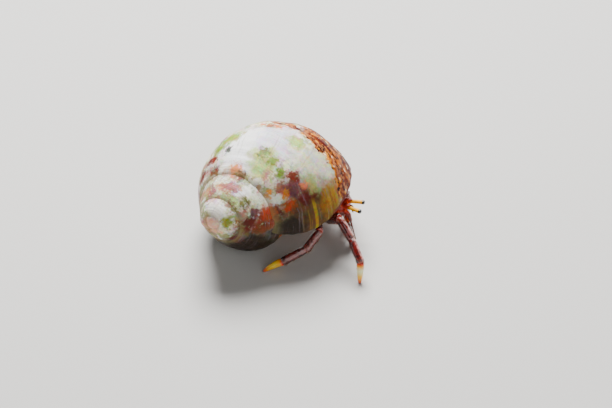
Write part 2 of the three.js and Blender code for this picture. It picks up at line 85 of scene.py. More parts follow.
# Stains on the worn crown, the broad ones first, and painted shade low on the shell:
# place and radius in mm, colour, strength.
STAINS_AND_PAINTED_SHADE = [
    ((-0.5, 1.8, 19.6), 5.2, "fdfcfa", 0.95),  # bleached crown
    ((5.0, 3.4, 20.6), 3.9, "d8d0de", 0.9),
    ((12.4, 1.0, 17.6), 4.6, "c6c4ac", 0.9),  # grey-green film behind the lip
    ((13.2, -4.6, 11.2), 6.4, "583800", 0.97),  # ochre film by the lip's upper end
    ((16.0, -0.8, 12.8), 3.0, "966400", 0.9),
    # painted shade low on the body whorl
    ((9.5, -7.4, 9.0), 3.8, "1c0e00", 0.97),
    ((2.6, -9.8, 6.0), 5.2, "1a0e00", 0.98),  # painted shade low on the spire side
    ((-2.6, -10.5, 14.4), 1.9, "f6f2e6", 0.95),  # worn white spots
    ((1.7, -6.6, 16.6), 1.4, "f6f5ee", 0.95),
    ((3.5, -7.1, 15.7), 1.1, "dfe3c2", 0.95),
    ((-0.3, -0.6, 19.2), 1.8, "ffffff", 0.9),
    ((-3.6, -10.4, 11.6), 1.8, "efb294", 0.95),  # pink tip, then patches on the spire
    ((-5.8, -6.1, 14.5), 1.1, "b0884c", 0.85),
    ((-4.9, -5.3, 15.7), 0.8, "848454", 0.85),
    ((-0.7, -8.2, 15.8), 1.0, "9cac60", 0.9),
    ((-0.8, -8.8, 15.2), 0.8, "885450", 0.9),
    ((-0.1, -9.4, 14.7), 0.6, "64782c", 0.9),
    ((1.8, -8.1, 15.6), 1.1, "686028", 0.9),
    ((1.1, -9.5, 13.6), 0.9, "9c8474", 0.85),
    ((1.9, -10.3, 10.7), 1.1, "645c20", 0.9),
    ((0.7, -10.1, 8.5), 1.1, "442020", 0.9),
    ((-5.4, 3.4, 17.0), 2.0, "6e9000", 0.97),  # green algae
    ((-3.6, 4.8, 18.2), 1.8, "88a008", 0.95),
    ((3.2, -1.2, 19.8), 2.6, "b2be62", 0.9),
    ((3.3, 0.3, 20.3), 1.1, "6c7c30", 0.95),
    ((5.2, -0.9, 19.9), 1.0, "76881c", 0.95),
    ((7.0, -2.5, 18.8), 1.1, "647810", 0.95),
    ((8.2, 4.2, 20.2), 1.7, "a0b450", 0.9),
    ((-0.9, -11.3, 13.1), 1.0, "948c00", 0.95),
    ((12.6, -1.5, 16.2), 1.4, "949858", 0.85),
    ((-3.5, 1.3, 18.4), 0.75, "2e2e12", 0.95),  # a dark pit
    ((-1.2, -2.7, 17.9), 1.3, "d87c3c", 0.95),  # pink and mauve crust
    ((0.1, -3.7, 17.4), 1.1, "703428", 0.95),
    ((-2.9, -5.9, 16.7), 0.9, "c06c3c", 0.9),
    ((-1.6, -6.2, 16.9), 1.2, "984c4c", 0.95),
    ((-0.4, -6.2, 17.0), 1.0, "a86460", 0.9),
    ((-4.4, -6.5, 15.6), 1.1, "98483c", 0.9),
    ((7.4, -4.4, 16.9), 1.2, "96503c", 0.9),
    ((9.8, -3.8, 16.7), 2.2, "683438", 0.97),
    ((9.1, -2.2, 18.2), 1.1, "641a00", 0.97),
    ((8.2, -4.8, 16.0), 0.8, "b2600c", 0.95),
    ((11.4, -2.6, 16.9), 0.8, "d47a44", 0.95),
    ((12.0, -3.8, 14.9), 1.4, "560c00", 0.97),
    ((9.3, -5.6, 14.3), 1.1, "9a3800", 0.97),
    ((5.4, -5.2, 16.0), 0.8, "e07c08", 0.97),
    ((3.7, -8.7, 14.1), 1.0, "683848", 0.95),
    ((5.4, -8.5, 12.2), 2.1, "842c00", 0.98),  # red-brown layer laid bare
    ((2.6, -9.8, 12.0), 1.6, "5c0a00", 0.98),
    ((6.9, -6.8, 13.2), 1.2, "5c0c00", 0.98),
    ((5.7, -7.4, 13.3), 1.3, "b84000", 0.95),
    ((5.0, -9.0, 10.6), 1.4, "6c3000", 0.95),
    ((0.6, -10.4, 8.8), 1.2, "5a1408", 0.9),
    ((-6.5, 0.9, 15.3), 1.0, "640400", 0.98),  # red dashes left from the pattern
    ((-5.7, 0.5, 16.3), 0.8, "7c0c00", 0.97),
    ((-5.1, -2.1, 15.8), 1.15, "640400", 0.98),
    ((-7.6, -1.0, 13.2), 1.3, "641000", 0.98),
    ((1.2, 7.8, 19.5), 0.7, "c4742c", 0.9),  # the pattern worn through along the crown
    ((2.8, 7.4, 20.0), 0.75, "a04c10", 0.9),
    ((4.4, 7.6, 20.1), 0.8, "c06418", 0.92),
    ((6.0, 8.4, 19.6), 0.6, "7c3408", 0.9),
]
LOOSE_STAIN = 1.3  # a stain wider than this has a looser edge
WHOLE_STAIN = 3.0  # one as wide as this has no holes
# Crusts under the stains: shift of the place, size in mm, bounds of the noise, strength, colour.
CRUSTS = [
    ((0, 0, 0), 2.6, 0.46, 0.58, 0.8, "8f9350"),
    ((31, 7, 12), 2.4, 0.52, 0.6, 0.75, "a55f50"),
    ((5, 19, 40), 2.0, 0.54, 0.62, 0.85, "f1eddf"),
]
# Dashes of the band: cells to the mm each way, share of cells, reach in cells, colour.
FLECKS = [
    ((0.9, 0.42, 1.0), 0.5, 0.52, "4c0200"),
    ((1.6, 0.7, 1.0), 0.36, 0.5, "1a0200"),
    ((2.4, 0.9, 1.0), 0.14, 0.46, "f4d8b0"),
    ((2.2, 0.75, 1.0), 0.26, 0.48, "e08a00"),
]

# ---- Sizes of the crab ----
MIDLINE = 3.1  # Y of the middle plane
HEAD_X = 18.1  # the front of the shield
SHIELD_LENGTH = 5.2
BODY_LENGTH = 7.0
BODY_WIDTH = 4.8
BODY_HEIGHT = 4.0
BODY_Z = 6.8
REAR_X = HEAD_X - BODY_LENGTH
SEAM_X = HEAD_X - SHIELD_LENGTH  # where the shield meets the rear carapace
HIP_Z = 5.0
EYE_Z = 7.95
STALK_LENGTH = 2.5
LEG_LENGTHS = {"merus": 5.3, "carpus": 3.9, "propodus": 4.7, "dactyl": 4.1}
LEG_WIDTH = 1.4
LEG_HEIGHTS = {"merus": 2.0, "carpus": 1.85, "propodus": 1.7, "dactyl": 1.48}
TOE_DROP = 0.055  # height of a toe's middle line at its tip
# Hip place along the body, then heading and slope of each segment in degrees.
LEGS = {
    "leg_2_right": (14.4, [(-44, 40), (-37, -37), (-53, -27), (-83, None)]),
    "leg_3_right": (12.4, [(-70, 17), (-131, -44), (-147, -20), (-163, None)]),
    "leg_2_left": (14.4, [(102, 34), (101, -28), (107, -36), (102, None)]),
    "leg_3_left": (12.4, [(101, 16), (126, -30), (142, -24), (150, None)]),
}
# Lengths of arm, wrist, palm and finger, height, thickness, then heading and slope of each.
CLAWS = {
    "left": ((2.5, 1.8, 2.5, 2.3), 2.6, 1.5, [(95, 32), (0, -60), (-140, -82), (-60, -82)]),
    "right": ((2.0, 1.3, 1.9, 1.6), 1.7, 1.15, [(-20, 0), (40, -60), (60, -78), (45, -80)]),
}
CLAW_HIP_X = 16.3
# Routes of the small limbs: X, distance from the middle plane, Z.
ANTENNULE = [(18, 0.3, 7.3), (18.6, 0.35, 7.2), (18.9, 0.4, 6.5)]
ANTENNAE = {
    "right": [(17.6, 1.1, 7.1), (18.45, 1.5, 6.5), (19.05, 1.75, 4.4), (19.75, 1.75, 1.1)],
    "left": [(17.5, 1.4, 7), (17.55, 2.3, 6.8), (16.85, 4.8, 5.9), (16.75, 6.6, 4.2),
             (16.4, 7.3, 2)],
}
MAXILLIPED = [(17.4, 0.42, 5.3), (18, 0.45, 4.9), (18, 0.45, 3.7)]
LEG_4 = [(12.4, 1.5, 6.5), (11, 2.9, 6.4), (10, 3, 7.6)]
LEG_5 = [(12.3, 1.5, 7.6), (11.3, 2.7, 8.3), (10.4, 2.9, 9.3)]
ABDOMEN_THICK = 4.2
ABDOMEN_TURNS = 0.6
FEELER_RINGS = 30
OUT = {"left": 1, "right": -1}
UP = np.array([0, 0, 1.0])


# ---- Arrays ----


def unit(vectors):
    """Vectors divided by their lengths."""
    return vectors / np.maximum(np.linalg.norm(vectors, axis=-1, keepdims=True), 1e-12)


def smooth(low, high, value):
    """A step from 0 at low to 1 at high that starts and ends level: 3t squared minus 2t cubed."""
    share = np.clip((value - low) / (high - low), 0, 1)
    return share * share * (3 - 2 * share)


def mix(first, last, share):
    """A straight blend between two values."""
    return first + (last - first) * share


def waves(points, size, seed):
    """Smooth noise about 0: a sum of sine waves of random heading, each about size mm long."""
    random = np.random.default_rng(seed)
    count = 9
    heading = unit(random.normal(size=(count, 3)))
    rate = tau / (size * random.uniform(0.7, 1.5, count))
    start = random.uniform(0, tau, count)
    total = 0
    for way, speed, shift in zip(heading, rate, start):
        total = total + np.sin(points @ way * speed + shift)
    return total / np.sqrt(count)


def grid_normals(grid):
    """Unit cross product of a closed grid's two directions of change."""
    wrapped = np.concatenate([grid[:, -1:], grid, grid[:, :1]], axis=1)
    around = (wrapped[:, 2:] - wrapped[:, :-2]) / 2
    along = np.gradient(grid, axis=0)
    return unit(np.cross(around, along))


def closed_tube(grid, flat=None, finish=None):
    """A skin over rings of points, closed round each ring and by a fan at each end. flat gives each
    corner its place on the Pattern map, with one more column than the ring; finish gives each ring
    the number of its material."""
    rows, count = grid.shape[:2]
    if flat is None:
        flat = np.stack(np.meshgrid(np.linspace(0, 1, count + 1), np.linspace(0, 1, rows)), -1)
    index = np.arange(rows * count).reshape(rows, count)
    after = np.roll(index, -1, axis=1)
    quads = np.stack([index[:-1], after[:-1], after[1:], index[1:]], -1).reshape(-1, 4)
    quad_flat = np.stack([flat[:-1, :-1], flat[:-1, 1:], flat[1:, 1:], flat[1:, :-1]], 2)
    quad_flat = quad_flat.reshape(-1, 4, 2)
    poles = np.stack([grid[0].mean(0), grid[-1].mean(0)])
    first = np.full(count, rows * count)
    tris = np.concatenate([np.stack([first, after[0], index[0]], -1),
                           np.stack([first + 1, index[-1], after[-1]], -1)])
    middles = [(flat[i, :-1] + flat[i, 1:]) / 2 for i in (0, -1)]
    tri_flat = np.concatenate([np.stack([middles[0], flat[0, 1:], flat[0, :-1]], 1),
                               np.stack([middles[1], flat[-1, :-1], flat[-1, 1:]], 1)])
    points = np.concatenate([grid.reshape(-1, 3), poles])
    a, b, c, d = (points[quads[:, k]] for k in range(4))
    volume = np.einsum("ij,ij->", a, np.cross(b, c)) + np.einsum("ij,ij->", a, np.cross(c, d))
    if volume < 0:
        quads, quad_flat = quads[:, ::-1], quad_flat[:, ::-1]
        tris, tri_flat = tris[:, ::-1], tri_flat[:, ::-1]
    marks = np.zeros(len(quads) + len(tris), np.int32)
    if finish is not None:
        marks[: len(quads)] = np.repeat(finish[:-1], count)
        marks[len(quads) : len(quads) + count] = finish[0]
        marks[len(quads) + count :] = finish[-1]
    return {"points": points, "quads": quads, "quad_flat": quad_flat, "tris": tris,
            "tri_flat": tri_flat, "marks": marks}


def sphere(rows, sides, gap):
    """Rings of points on a unit sphere, from an angle of gap below its top to as much above its
    lowest point."""
    up = np.linspace(gap, pi - gap, rows)
    up, around = np.meshgrid(up, tau * np.arange(sides) / sides, indexing="ij")
    return np.stack([np.sin(up) * np.cos(around), np.sin(up) * np.sin(around), np.cos(up)], -1)


def knuckle(middle, radius):
    """A small ball in the second finish: the soft skin that bulges in a joint."""
    patch = closed_tube(middle + radius * sphere(14, 20, 0.05))
    patch["marks"] += 1
    return patch


def put(name, patches, materials, replaces=(), extra=None, patch_map="Pattern"):
    """Join patches into one mesh object in metres that rides on the root."""
    shift = np.cumsum([0] + [len(p["points"]) for p in patches])
    points = np.concatenate([p["points"] for p in patches]) * MM
    quads = np.concatenate([p["quads"] + s for p, s in zip(patches, shift)])
    tris = np.concatenate([p["tris"] + s for p, s in zip(patches, shift)])
    mesh = bpy.data.meshes.new(name)
    mesh.from_pydata(points.tolist(), [], quads.tolist() + tris.tolist())
    flat = np.concatenate([p[key].reshape(-1, 2)
                           for key in ("quad_flat", "tri_flat") for p in patches])
    layer = mesh.uv_layers.new(name=patch_map)
    layer.data.foreach_set("uv", flat.astype(np.float32).ravel())
    marks = np.concatenate([p["marks"][: len(p["quads"])] for p in patches]
                           + [p["marks"][len(p["quads"]) :] for p in patches])
    mesh.polygons.foreach_set("material_index", marks.astype(np.int32))
    mesh.polygons.foreach_set("use_smooth", np.ones(len(marks), bool))
    for key, values in (extra or {}).items():
        attribute = mesh.attributes.new(key, "FLOAT", "POINT")
        attribute.data.foreach_set("value", values.astype(np.float32).ravel())
    for material in materials:
        mesh.materials.append(material)
    mesh.update()
    piece = bpy.data.objects.new(name, mesh)
    bpy.context.scene.collection.objects.link(piece)
    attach(piece, "root")
    if replaces:
        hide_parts(*replaces)
    return piece


# ---- Paths and swept bodies ----


def curve_through(points, count):
    """A Catmull-Rom curve: between two points it leaves and arrives along the line that joins
    each point's neighbours."""
    points = np.asarray(points, float)
    ends = np.concatenate([[2 * points[0] - points[1]], points, [2 * points[-1] - points[-2]]])
    place = np.linspace(0, len(points) - 1, count)
    cell = np.minimum(place.astype(int), len(points) - 2)
    t = (place - cell)[:, None]
    a, b, c, d = (ends[cell + k] for k in range(4))
    square, cube = 2 * a - 5 * b + 4 * c - d, 3 * b - a - 3 * c + d
    return 0.5 * (2 * b + (c - a) * t + square * t**2 + cube * t**3)


def between(start, end, over, bow, count):
    """A bowed line: a straight run between two points, a little past both, raised in the middle
    by a parabola."""
    way = unit(end - start)
    first, last = start - over * way, end + over * way
    s = np.linspace(0, 1, count)[:, None]
    return mix(first, last, s) + np.array([0, 0, 4 * bow]) * s * (1 - s)


def ease(count):
    """Places from 0 to 1 that crowd toward both ends, as a cosine does."""
    return (1 - np.cos(np.linspace(0.02, 1, count) * pi * 0.98 + 0.01)) / 2


def sweep(path, side, size, sides, power=2.0, swell=None):
    """A body along a path. At each place s the ring is a superellipse: cosine and sine of the
    angle, each raised to 2/power, times the half width and half height that size(s) gives, and
    moved out by swell(s, angle)."""
    count = len(path)
    length = np.concatenate([[0], np.cumsum(np.linalg.norm(np.diff(path, axis=0), axis=1))])
    s = ease(count)
    centre = np.stack([np.interp(s * length[-1], length, path[:, k]) for k in range(3)], -1)
    along = unit(np.gradient(centre, axis=0))
    wide = unit(side - (along @ side)[:, None] * along)
    high = np.cross(along, wide)
    angle = tau * (np.arange(sides) + 0.5) / sides
    half_width, half_height = size(s)
    bend = lambda value: np.sign(value) * np.abs(value) ** (2 / power)
    x = half_width[:, None] * bend(np.cos(angle))
    y = half_height[:, None] * bend(np.sin(angle))
    if swell is not None:
        grown = swell(s[:, None], angle[None])
        x, y = x + grown * np.cos(angle), y + grown * np.sin(angle)
    return centre[:, None] + x[..., None] * wide[:, None] + y[..., None] * high[:, None]


def round_ends(s, blunt):
    """A superellipse along a body: about 1, falling to 0 at both ends, the later the blunter."""
    return (1 - np.abs(2 * s - 1) ** blunt) ** (1 / blunt)


def barrel(width, height, taper=0.0, blunt=4.0):
    """Half sizes of a barrel with round ends and a straight taper."""

    def size(s):
        grown = round_ends(s, blunt) * (1 + taper * (s - 0.5)) / 2
        return width * grown, height * grown

    return size


def limb_size(width, height, neck=0.8):
    """Half sizes of a limb segment: a narrow neck that widens over the first third, a straight
    shaft, and a slight cup at the far end, all closed by round ends."""

    def size(s):
        rounded = round_ends(s, 7)
        shaft = mix(neck, 1, smooth(0.02, 0.3, s)) + 0.06 * np.exp(-(((s - 0.9) / 0.07) ** 2))
        return width * rounded * shaft / 2, height * rounded * shaft / 2

    return size


def toe_size(width, height):
    """Half sizes of a toe: stout for half its length, then narrowing to a short blunt tip."""

    def size(s):
        rounded = round_ends(s, 6)
        share = s**1.7
        return mix(width, 0.5, share) * rounded / 2, mix(height, 0.5, share) * rounded / 2

    return size


def claw_size(width, height, tip):
    """Half sizes of a claw: it narrows along a slightly bowed line from base to tip."""

    def size(s):
        rounded = round_ends(s, 7)
        share = s**1.15
        return mix(width, tip, share) * rounded / 2, mix(height, tip, share) * rounded / 2

    return size


def heading_way(heading, slope):
    """A unit vector from a heading and a slope in degrees."""
    h, e = radians(heading), radians(slope)
    return np.array([cos(e) * cos(h), cos(e) * sin(h), sin(e)])


def chain(first, lengths, bends):
    """The joints of a limb. Where no slope is given, the segment comes down to the floor."""
    joints = [np.array(first, float)]
    for length, (heading, slope) in zip(lengths, bends):
        start = joints[-1]
        if slope is None:
            slope = degrees(np.arcsin((TOE_DROP - start[2]) / length))
        joints.append(start + length * heading_way(heading, slope))
    return joints


def on_body(x, y, z):
    """A point given by X, distance to the left of the middle plane, and Z."""
    return np.array([x, MIDLINE + y, z], float)


def limb_root(x, out):
    """The inner end and the hip of a limb's first, fixed segment."""
    return on_body(x, 0.9 * out, HIP_Z + 0.8), on_body(x, 1.8 * out, HIP_Z)


def on_floor(grid):
    """The grid with all that reaches below the floor pressed flat on it."""
    lifted = grid.copy()
    lifted[..., 2] = np.maximum(lifted[..., 2], 0)
    return lifted


# ---- Bristles ----

HAIR_SIDES = 3
TUFT_HAIRS = 3
HAIR_ROOT = 0.04  # how deep a tuft is set in the skin
HAIR_PATCH = 0.003  # breadth of one tuft's patch on the OFBake map


def plant(grid, count, seed, share, length, thick, lean, cell=(0, 1)):
    """Tufts of bristles on a closed grid. Roots are drawn at random and kept with the chance that
    share(s, a) gives at place s along and a around. Each tuft is a few tapered, bent prisms that
    lean toward the grid's far end. Every one lies in one patch of the OFBake map, at its root's
    place in the grid's own cell of the unwrap."""
    random = np.random.default_rng(seed)
    rows, around = grid.shape[:2]
    i = random.integers(1, rows - 2, count * 4)
    j = random.integers(0, around, count * 4)
    s, a = i / (rows - 1), (j + 0.5) / around
    kept = np.nonzero(random.uniform(0, 1, len(i)) < share(s, a))[0][:count]
    i, j, s, a = i[kept], j[kept], s[kept], a[kept]
    normals = grid_normals(grid)
    centre = grid.mean(axis=1)
    if np.sum(normals * (grid - centre[:, None])) < 0:
        normals = -normals
    ahead = unit(np.gradient(centre, axis=0))[i]
    out = normals[i, j]
    step = random.uniform(0, 1, (len(i), 1))
    root = mix(grid[i, j], grid[i + 1, j], step) - HAIR_ROOT * out
    flat = np.stack([cell[0] + cell[1] * (0.02 + 0.96 * a), 0.02 + 0.96 * s], -1)
    patches = []
    for _ in range(TUFT_HAIRS):
        way = unit(out * (1 - lean) + ahead * lean + 0.22 * random.normal(size=out.shape))
        long = length * random.uniform(0.6, 1.1, (len(i), 1))
        bend = 0.35 * long * (ahead - 0.6 * out)
        foot = root + 0.05 * random.normal(size=root.shape)
        patches.append(prisms(foot, way * long, bend, thick, flat))
    return patches


def prisms(root, reach, bend, thick, flat):
    """Tapered prisms: rings at four places along a parabola from the root, closed at both ends."""
    t = np.array([0, 0.35, 0.7, 1.0])
    radius = thick / 2 * (1 - 0.85 * t)
    side = unit(np.cross(reach, [0.31, 0.47, 0.83]))
    other = unit(np.cross(reach, side))
    angle = tau * np.arange(HAIR_SIDES) / HAIR_SIDES
    middle = root[:, None] + reach[:, None] * t[:, None] + bend[:, None] * t[:, None] ** 2
    round_it = side[:, None] * np.cos(angle)[:, None] + other[:, None] * np.sin(angle)[:, None]
    rings = middle[:, :, None] + round_it[:, None] * radius[:, None, None]
    points = on_floor(rings).reshape(-1, 3)
    count, size = len(root), len(t) * HAIR_SIDES
    base = (np.arange(count) * size)[:, None, None, None]
    k, m = np.meshgrid(np.arange(len(t) - 1), np.arange(HAIR_SIDES), indexing="ij")
    after = (m + 1) % HAIR_SIDES
    quad = np.stack([k * HAIR_SIDES + m, k * HAIR_SIDES + after, (k + 1) * HAIR_SIDES + after,
                     (k + 1) * HAIR_SIDES + m], -1)
    quads = (base + quad).reshape(-1, 4)
    caps = np.array([[2, 1, 0], [size - 3, size - 2, size - 1]])
    tris = (base[:, 0] + caps).reshape(-1, 3)
    spot = np.stack([np.tile(angle / tau, len(t)), np.repeat(t, HAIR_SIDES)], -1) - 0.5
    spots = (flat[:, None] + HAIR_PATCH * spot).reshape(-1, 2)
    return {"points": points, "quads": quads, "quad_flat": spots[quads], "tris": tris,
            "tri_flat": spots[tris], "marks": np.zeros(len(quads) + len(tris), np.int32)}


# ---- Materials ----


def srgb(code):
    """An sRGB hex colour as linear red, green, blue, alpha."""
    parts = np.array([int(code[i : i + 2], 16) / 255 for i in (0, 2, 4)])
    linear = np.where(parts <= 0.04045, parts / 12.92, ((parts + 0.055) / 1.055) ** 2.4)
    return (*linear.tolist(), 1.0)


def add(tree, kind, inputs=None, **settings):
    """Add a node. inputs are values or wires by socket."""
    item = tree.nodes.new(kind)
    for key, value in settings.items():
        setattr(item, key, value)
    for key, value in (inputs or {}).items():
        if isinstance(value, Wire):
            tree.links.new(value.socket, item.inputs[key])
        else:
            item.inputs[key].default_value = value
    return item


class Wire:
    """A node's output. Sums, products and the methods below add nodes to its tree and return
    another wire."""

    def __init__(self, socket):
        self.socket = socket
        self.tree = socket.id_data

    def into(self, kind, socket=0, inputs=None, output=0, **settings):
        """A new node that takes this wire in one of its sockets."""
        item = add(self.tree, kind, {socket: self, **(inputs or {})}, **settings)
        return Wire(item.outputs[output])

    def beside(self, output):
        """Another output of the same node."""
        return Wire(self.socket.node.outputs[output])

    def math(self, operation, other=0.0):
        return self.into("ShaderNodeMath", 0, {1: other}, operation=operation)

    def __add__(self, other):
        return self.math("ADD", other)

    def __sub__(self, other):
        return self.math("SUBTRACT", other)

    def __mul__(self, other):
        return self.math("MULTIPLY", other)

    def vector(self, operation, *others, output=0):
        return self.into("ShaderNodeVectorMath", 0, dict(enumerate(others, 1)), output,
                         operation=operation)

    def scaled(self, factor):
        return self.into("ShaderNodeVectorMath", 0, {"Scale": factor}, operation="SCALE")

    def axis(self, name):
        return self.into("ShaderNodeSeparateXYZ", output=name)

    def noise(self, size, detail=3.0, rough=0.55, output="Fac"):
        """Noise with features of about size mm, from 0 to 1."""
        return self.into("ShaderNodeTexNoise", "Vector",
                         {"Scale": 1 / size, "Detail": detail, "Roughness": rough}, output)

    def stretched_noise(self, rates):
        """Noise with its own features per mm in each direction."""
        return self.vector("MULTIPLY", rates).noise(1.0, 3.0, 0.5)

    def warped(self, size, reach):
        """The place moved about by noise with features of size mm, by a share of reach mm."""
        shake = self.noise(size, 5.0, 0.62, "Color")
        return self.vector("ADD", shake.vector("ADD", (-0.5, -0.5, -0.5)).scaled(reach))

    def cells(self, rate, **settings):
        """Distance to the nearest of the points strewn rate to the mm."""
        return self.into("ShaderNodeTexVoronoi", "Vector", {"Scale": rate}, "Distance", **settings)

    def mask(self, low, high):
        """0 below low, 1 above high, eased between."""
        return self.into("ShaderNodeMapRange", "Value", {"From Min": low, "From Max": high},
                         "Result", interpolation_type="SMOOTHSTEP")

    def around(self, middle, low, high):
        """The mask of the value's distance from the middle."""
        return (self - middle).math("ABSOLUTE").mask(low, high)

    def ramp(self, *stops):
        """A colour for the value, from pairs of a place and a hex code."""
        colour = self.into("ShaderNodeValToRGB", output="Color")
        elements = colour.socket.node.color_ramp.elements
        while len(elements) < len(stops):
            elements.new(0.5)
        for element, (place, code) in zip(elements, stops):
            element.position = place
            element.color = srgb(code)
        return colour

    def bump(self, distance, strength, under=None):
        """A bump of distance mm, over the one under it."""
        inputs = {"Distance": distance * MM, "Strength": strength}
        if under is not None:
            inputs["Normal"] = under
        return self.into("ShaderNodeBump", "Height", inputs, "Normal")


def blend(factor, first, second, mode="MIX"):
    """The second colour over the first by factor. Colours are wires, hex codes or linear values."""
    first, second = (srgb(item) if isinstance(item, str) else item for item in (first, second))
    tree = next(item.tree for item in (factor, first, second) if isinstance(item, Wire))
    inputs = {0: factor, 6: first, 7: second}
    return Wire(add(tree, "ShaderNodeMix", inputs, data_type="RGBA", blend_type=mode).outputs[2])


def blank(name):
    """A new material with an empty node tree."""
    material = bpy.data.materials.new(name)
    material.use_nodes = True
    material.node_tree.nodes.clear()
    return material


def start(name):
    """A new material, and the piece's own coordinates in millimetres."""
    material = blank(name)
    place = Wire(add(material.node_tree, "ShaderNodeTexCoord").outputs["Object"])
    return material, place.scaled(1 / MM)


def pattern(where):
    """The place on the piece's Pattern map."""
    return Wire(add(where.tree, "ShaderNodeUVMap", uv_map="Pattern").outputs["UV"])


def surface(material, inputs):
    """The material, closed by a Principled surface and its output."""
    shader = Wire(add(material.node_tree, "ShaderNodeBsdfPrincipled", inputs).outputs["BSDF"])
    add(material.node_tree, "ShaderNodeOutputMaterial", {"Surface": shader})
    return material


# ---- The shell ----


def shell_point(phase, across, along):
    """A point of the spiral: the section's ellipse, leaning, is set off from the coiling axis and
    below the apex, turned by the phase, and scaled by the growth ratio to the power of the
    turns."""
    scale = TUBE_WIDTH * TURN_RATIO ** (phase / tau)
    radius = AXIS_GAP + across * cos(TUBE_LEAN) - along * sin(TUBE_LEAN)
    height = -(SPIRE + across * sin(TUBE_LEAN) + along * cos(TUBE_LEAN))
    radius = np.maximum(radius, 0.02)
    spot = np.stack([radius * np.cos(phase), -radius * np.sin(phase), height], -1)
    return spot * scale[..., None]


def shell_pose():
    """Columns outward, against the growth, and to the apex: the apex has a heading and a rise, and
    the mouth faces down, turned forward by its pitch."""
    apex = heading_way(APEX_HEADING, APEX_RISE)
    down = -UP
    steepest = unit(down - (down @ apex) * apex)
    level = np.cross(apex, steepest)
    growth = steepest * cos(MOUTH_PITCH) + level * sin(MOUTH_PITCH)
    return np.stack([np.cross(apex, growth), -growth, apex], -1)


POSE = shell_pose()


def as_it_lies(points):
    """Points of the unmoved shell, turned and moved to where it lies."""
    return points @ POSE.T - SHELL_REST


def whorl_clearance(points, phase):
    """Distance in mm, about, from points to the whorl of that phase: in the plane through the axis,
    how far past its ellipse each point lies along the line from its middle. Negative inside."""
    scale = TUBE_WIDTH * TURN_RATIO ** (phase / tau)
    r = np.hypot(points[..., 0], points[..., 1]) / scale - AXIS_GAP
    h = -points[..., 2] / scale - SPIRE
    across = r * cos(TUBE_LEAN) + h * sin(TUBE_LEAN)
    along = -r * sin(TUBE_LEAN) + h * cos(TUBE_LEAN)
    reach = np.maximum(np.hypot(across, along / TUBE_HEIGHT), 1e-6)
    return (1 - 1 / reach) * np.hypot(across, along) * scale


def fillet(clearance, width):
    """How far a surface rises beside another: width/4 where they meet, falling as a square to 0 at
    width away, and easing off where the surface has gone inside the other."""
    near = np.clip(1 - clearance / width, 0, 1) ** 2
    return near * smooth(-0.6, 0, clearance / width) * width / 4


def shell_flat(growth):
    """Places on the flat pattern for rows of the shell."""
    return np.stack(np.meshgrid(np.linspace(0, ROUND_LENGTH, SECTION_SIDES + 1), growth), -1)


def shell_outside(fill, relief):
    """The outer face: rows of growth by places around the section. To the plain spiral are added
    the fillets at the sutures, low spiral cords, rest marks, lumps and the step of new growth.
    The rows' places on the flat pattern come with it, and how deep each point lies in a suture."""
    turn = np.concatenate([np.linspace(FIRST_TURN, SLANT_TURN, 190, endpoint=False),
                           np.linspace(SLANT_TURN, 0, 120)])
    angle = np.linspace(-pi, pi, SECTION_SIDES, endpoint=False)
    t, a = np.meshgrid(turn, angle, indexing="ij")
    late = np.clip((t - SLANT_TURN) / -SLANT_TURN, 0, 1)
    phase = tau * t - late * LIP_SLANT * np.sin(a + TUBE_LEAN)
    dome = np.clip(1 - (t - FIRST_TURN) / 0.18, 0, 0.995)
    fat = np.sqrt(1 - dome**2)
    grid = shell_point(phase, fat * np.cos(a), fat * TUBE_HEIGHT * np.sin(a))
    scale = TURN_RATIO**t
    normal = grid_normals(grid)
    centre = shell_point(phase, np.zeros_like(a), np.zeros_like(a))
    if np.sum(normal * (grid - centre)) < 0:
        normal = -normal

    width = fill * scale
    before = np.where(t - 1 > FIRST_TURN, whorl_clearance(grid, phase - tau), 99)
    after = whorl_clearance(grid, phase + tau)
    lip_there = smooth(0.45, 0.2, phase + tau)
    knob = np.linalg.norm(grid + KNOB_DEPTH * UP, axis=-1) - KNOB_RADIUS
    rise = fillet(before, width) + fillet(after, width) * lip_there + fillet(knob, 0.25 * fill)
    suture = np.clip(4 * rise / width, 0, 1)

    growth = GROWTH_LENGTH * (1 - TURN_RATIO**t)  # mm back from the lip at the whorl's widest
    wear = smooth(-0.5, 0.9, waves(grid, 9.0, 3))
    old = smooth(3.0, 6.0, growth)
    cords = np.cos(26 * a + 0.15 * waves(grid, 5.0, 5)) * smooth(-1, 0.3, np.cos(a - 0.2))
    rests = sum(np.exp(-(((growth - place) / 0.7) ** 2)) for place in (16.5, 31.0, 52.0))
    ragged = growth + 0.35 * waves(grid, 1.6, 11) + 0.25 * waves(grid, 5.0, 12)
    fine = waves(np.stack([growth, 0.08 * a * 9, 0 * a], -1), 0.9, 8)
    relief_now = (
        0.055 * cords * mix(1, 0.35, wear * old)
        + 0.10 * rests
        + 0.025 * fine * mix(1, 0.4, wear)
        + old * (0.13 * waves(grid, 7.0, 21) + 0.06 * waves(grid, 2.4, 22) * wear)
        + 0.17 * smooth(4.2, 4.7, ragged)
        - 0.17
    )
    rise = rise + relief * relief_now * scale * smooth(0, 0.35, t - FIRST_TURN + 0.05)
    grid = grid + normal * rise[..., None]
    return grid, shell_flat(GROWTH_LENGTH * (1 - TURN_RATIO**turn)), suture


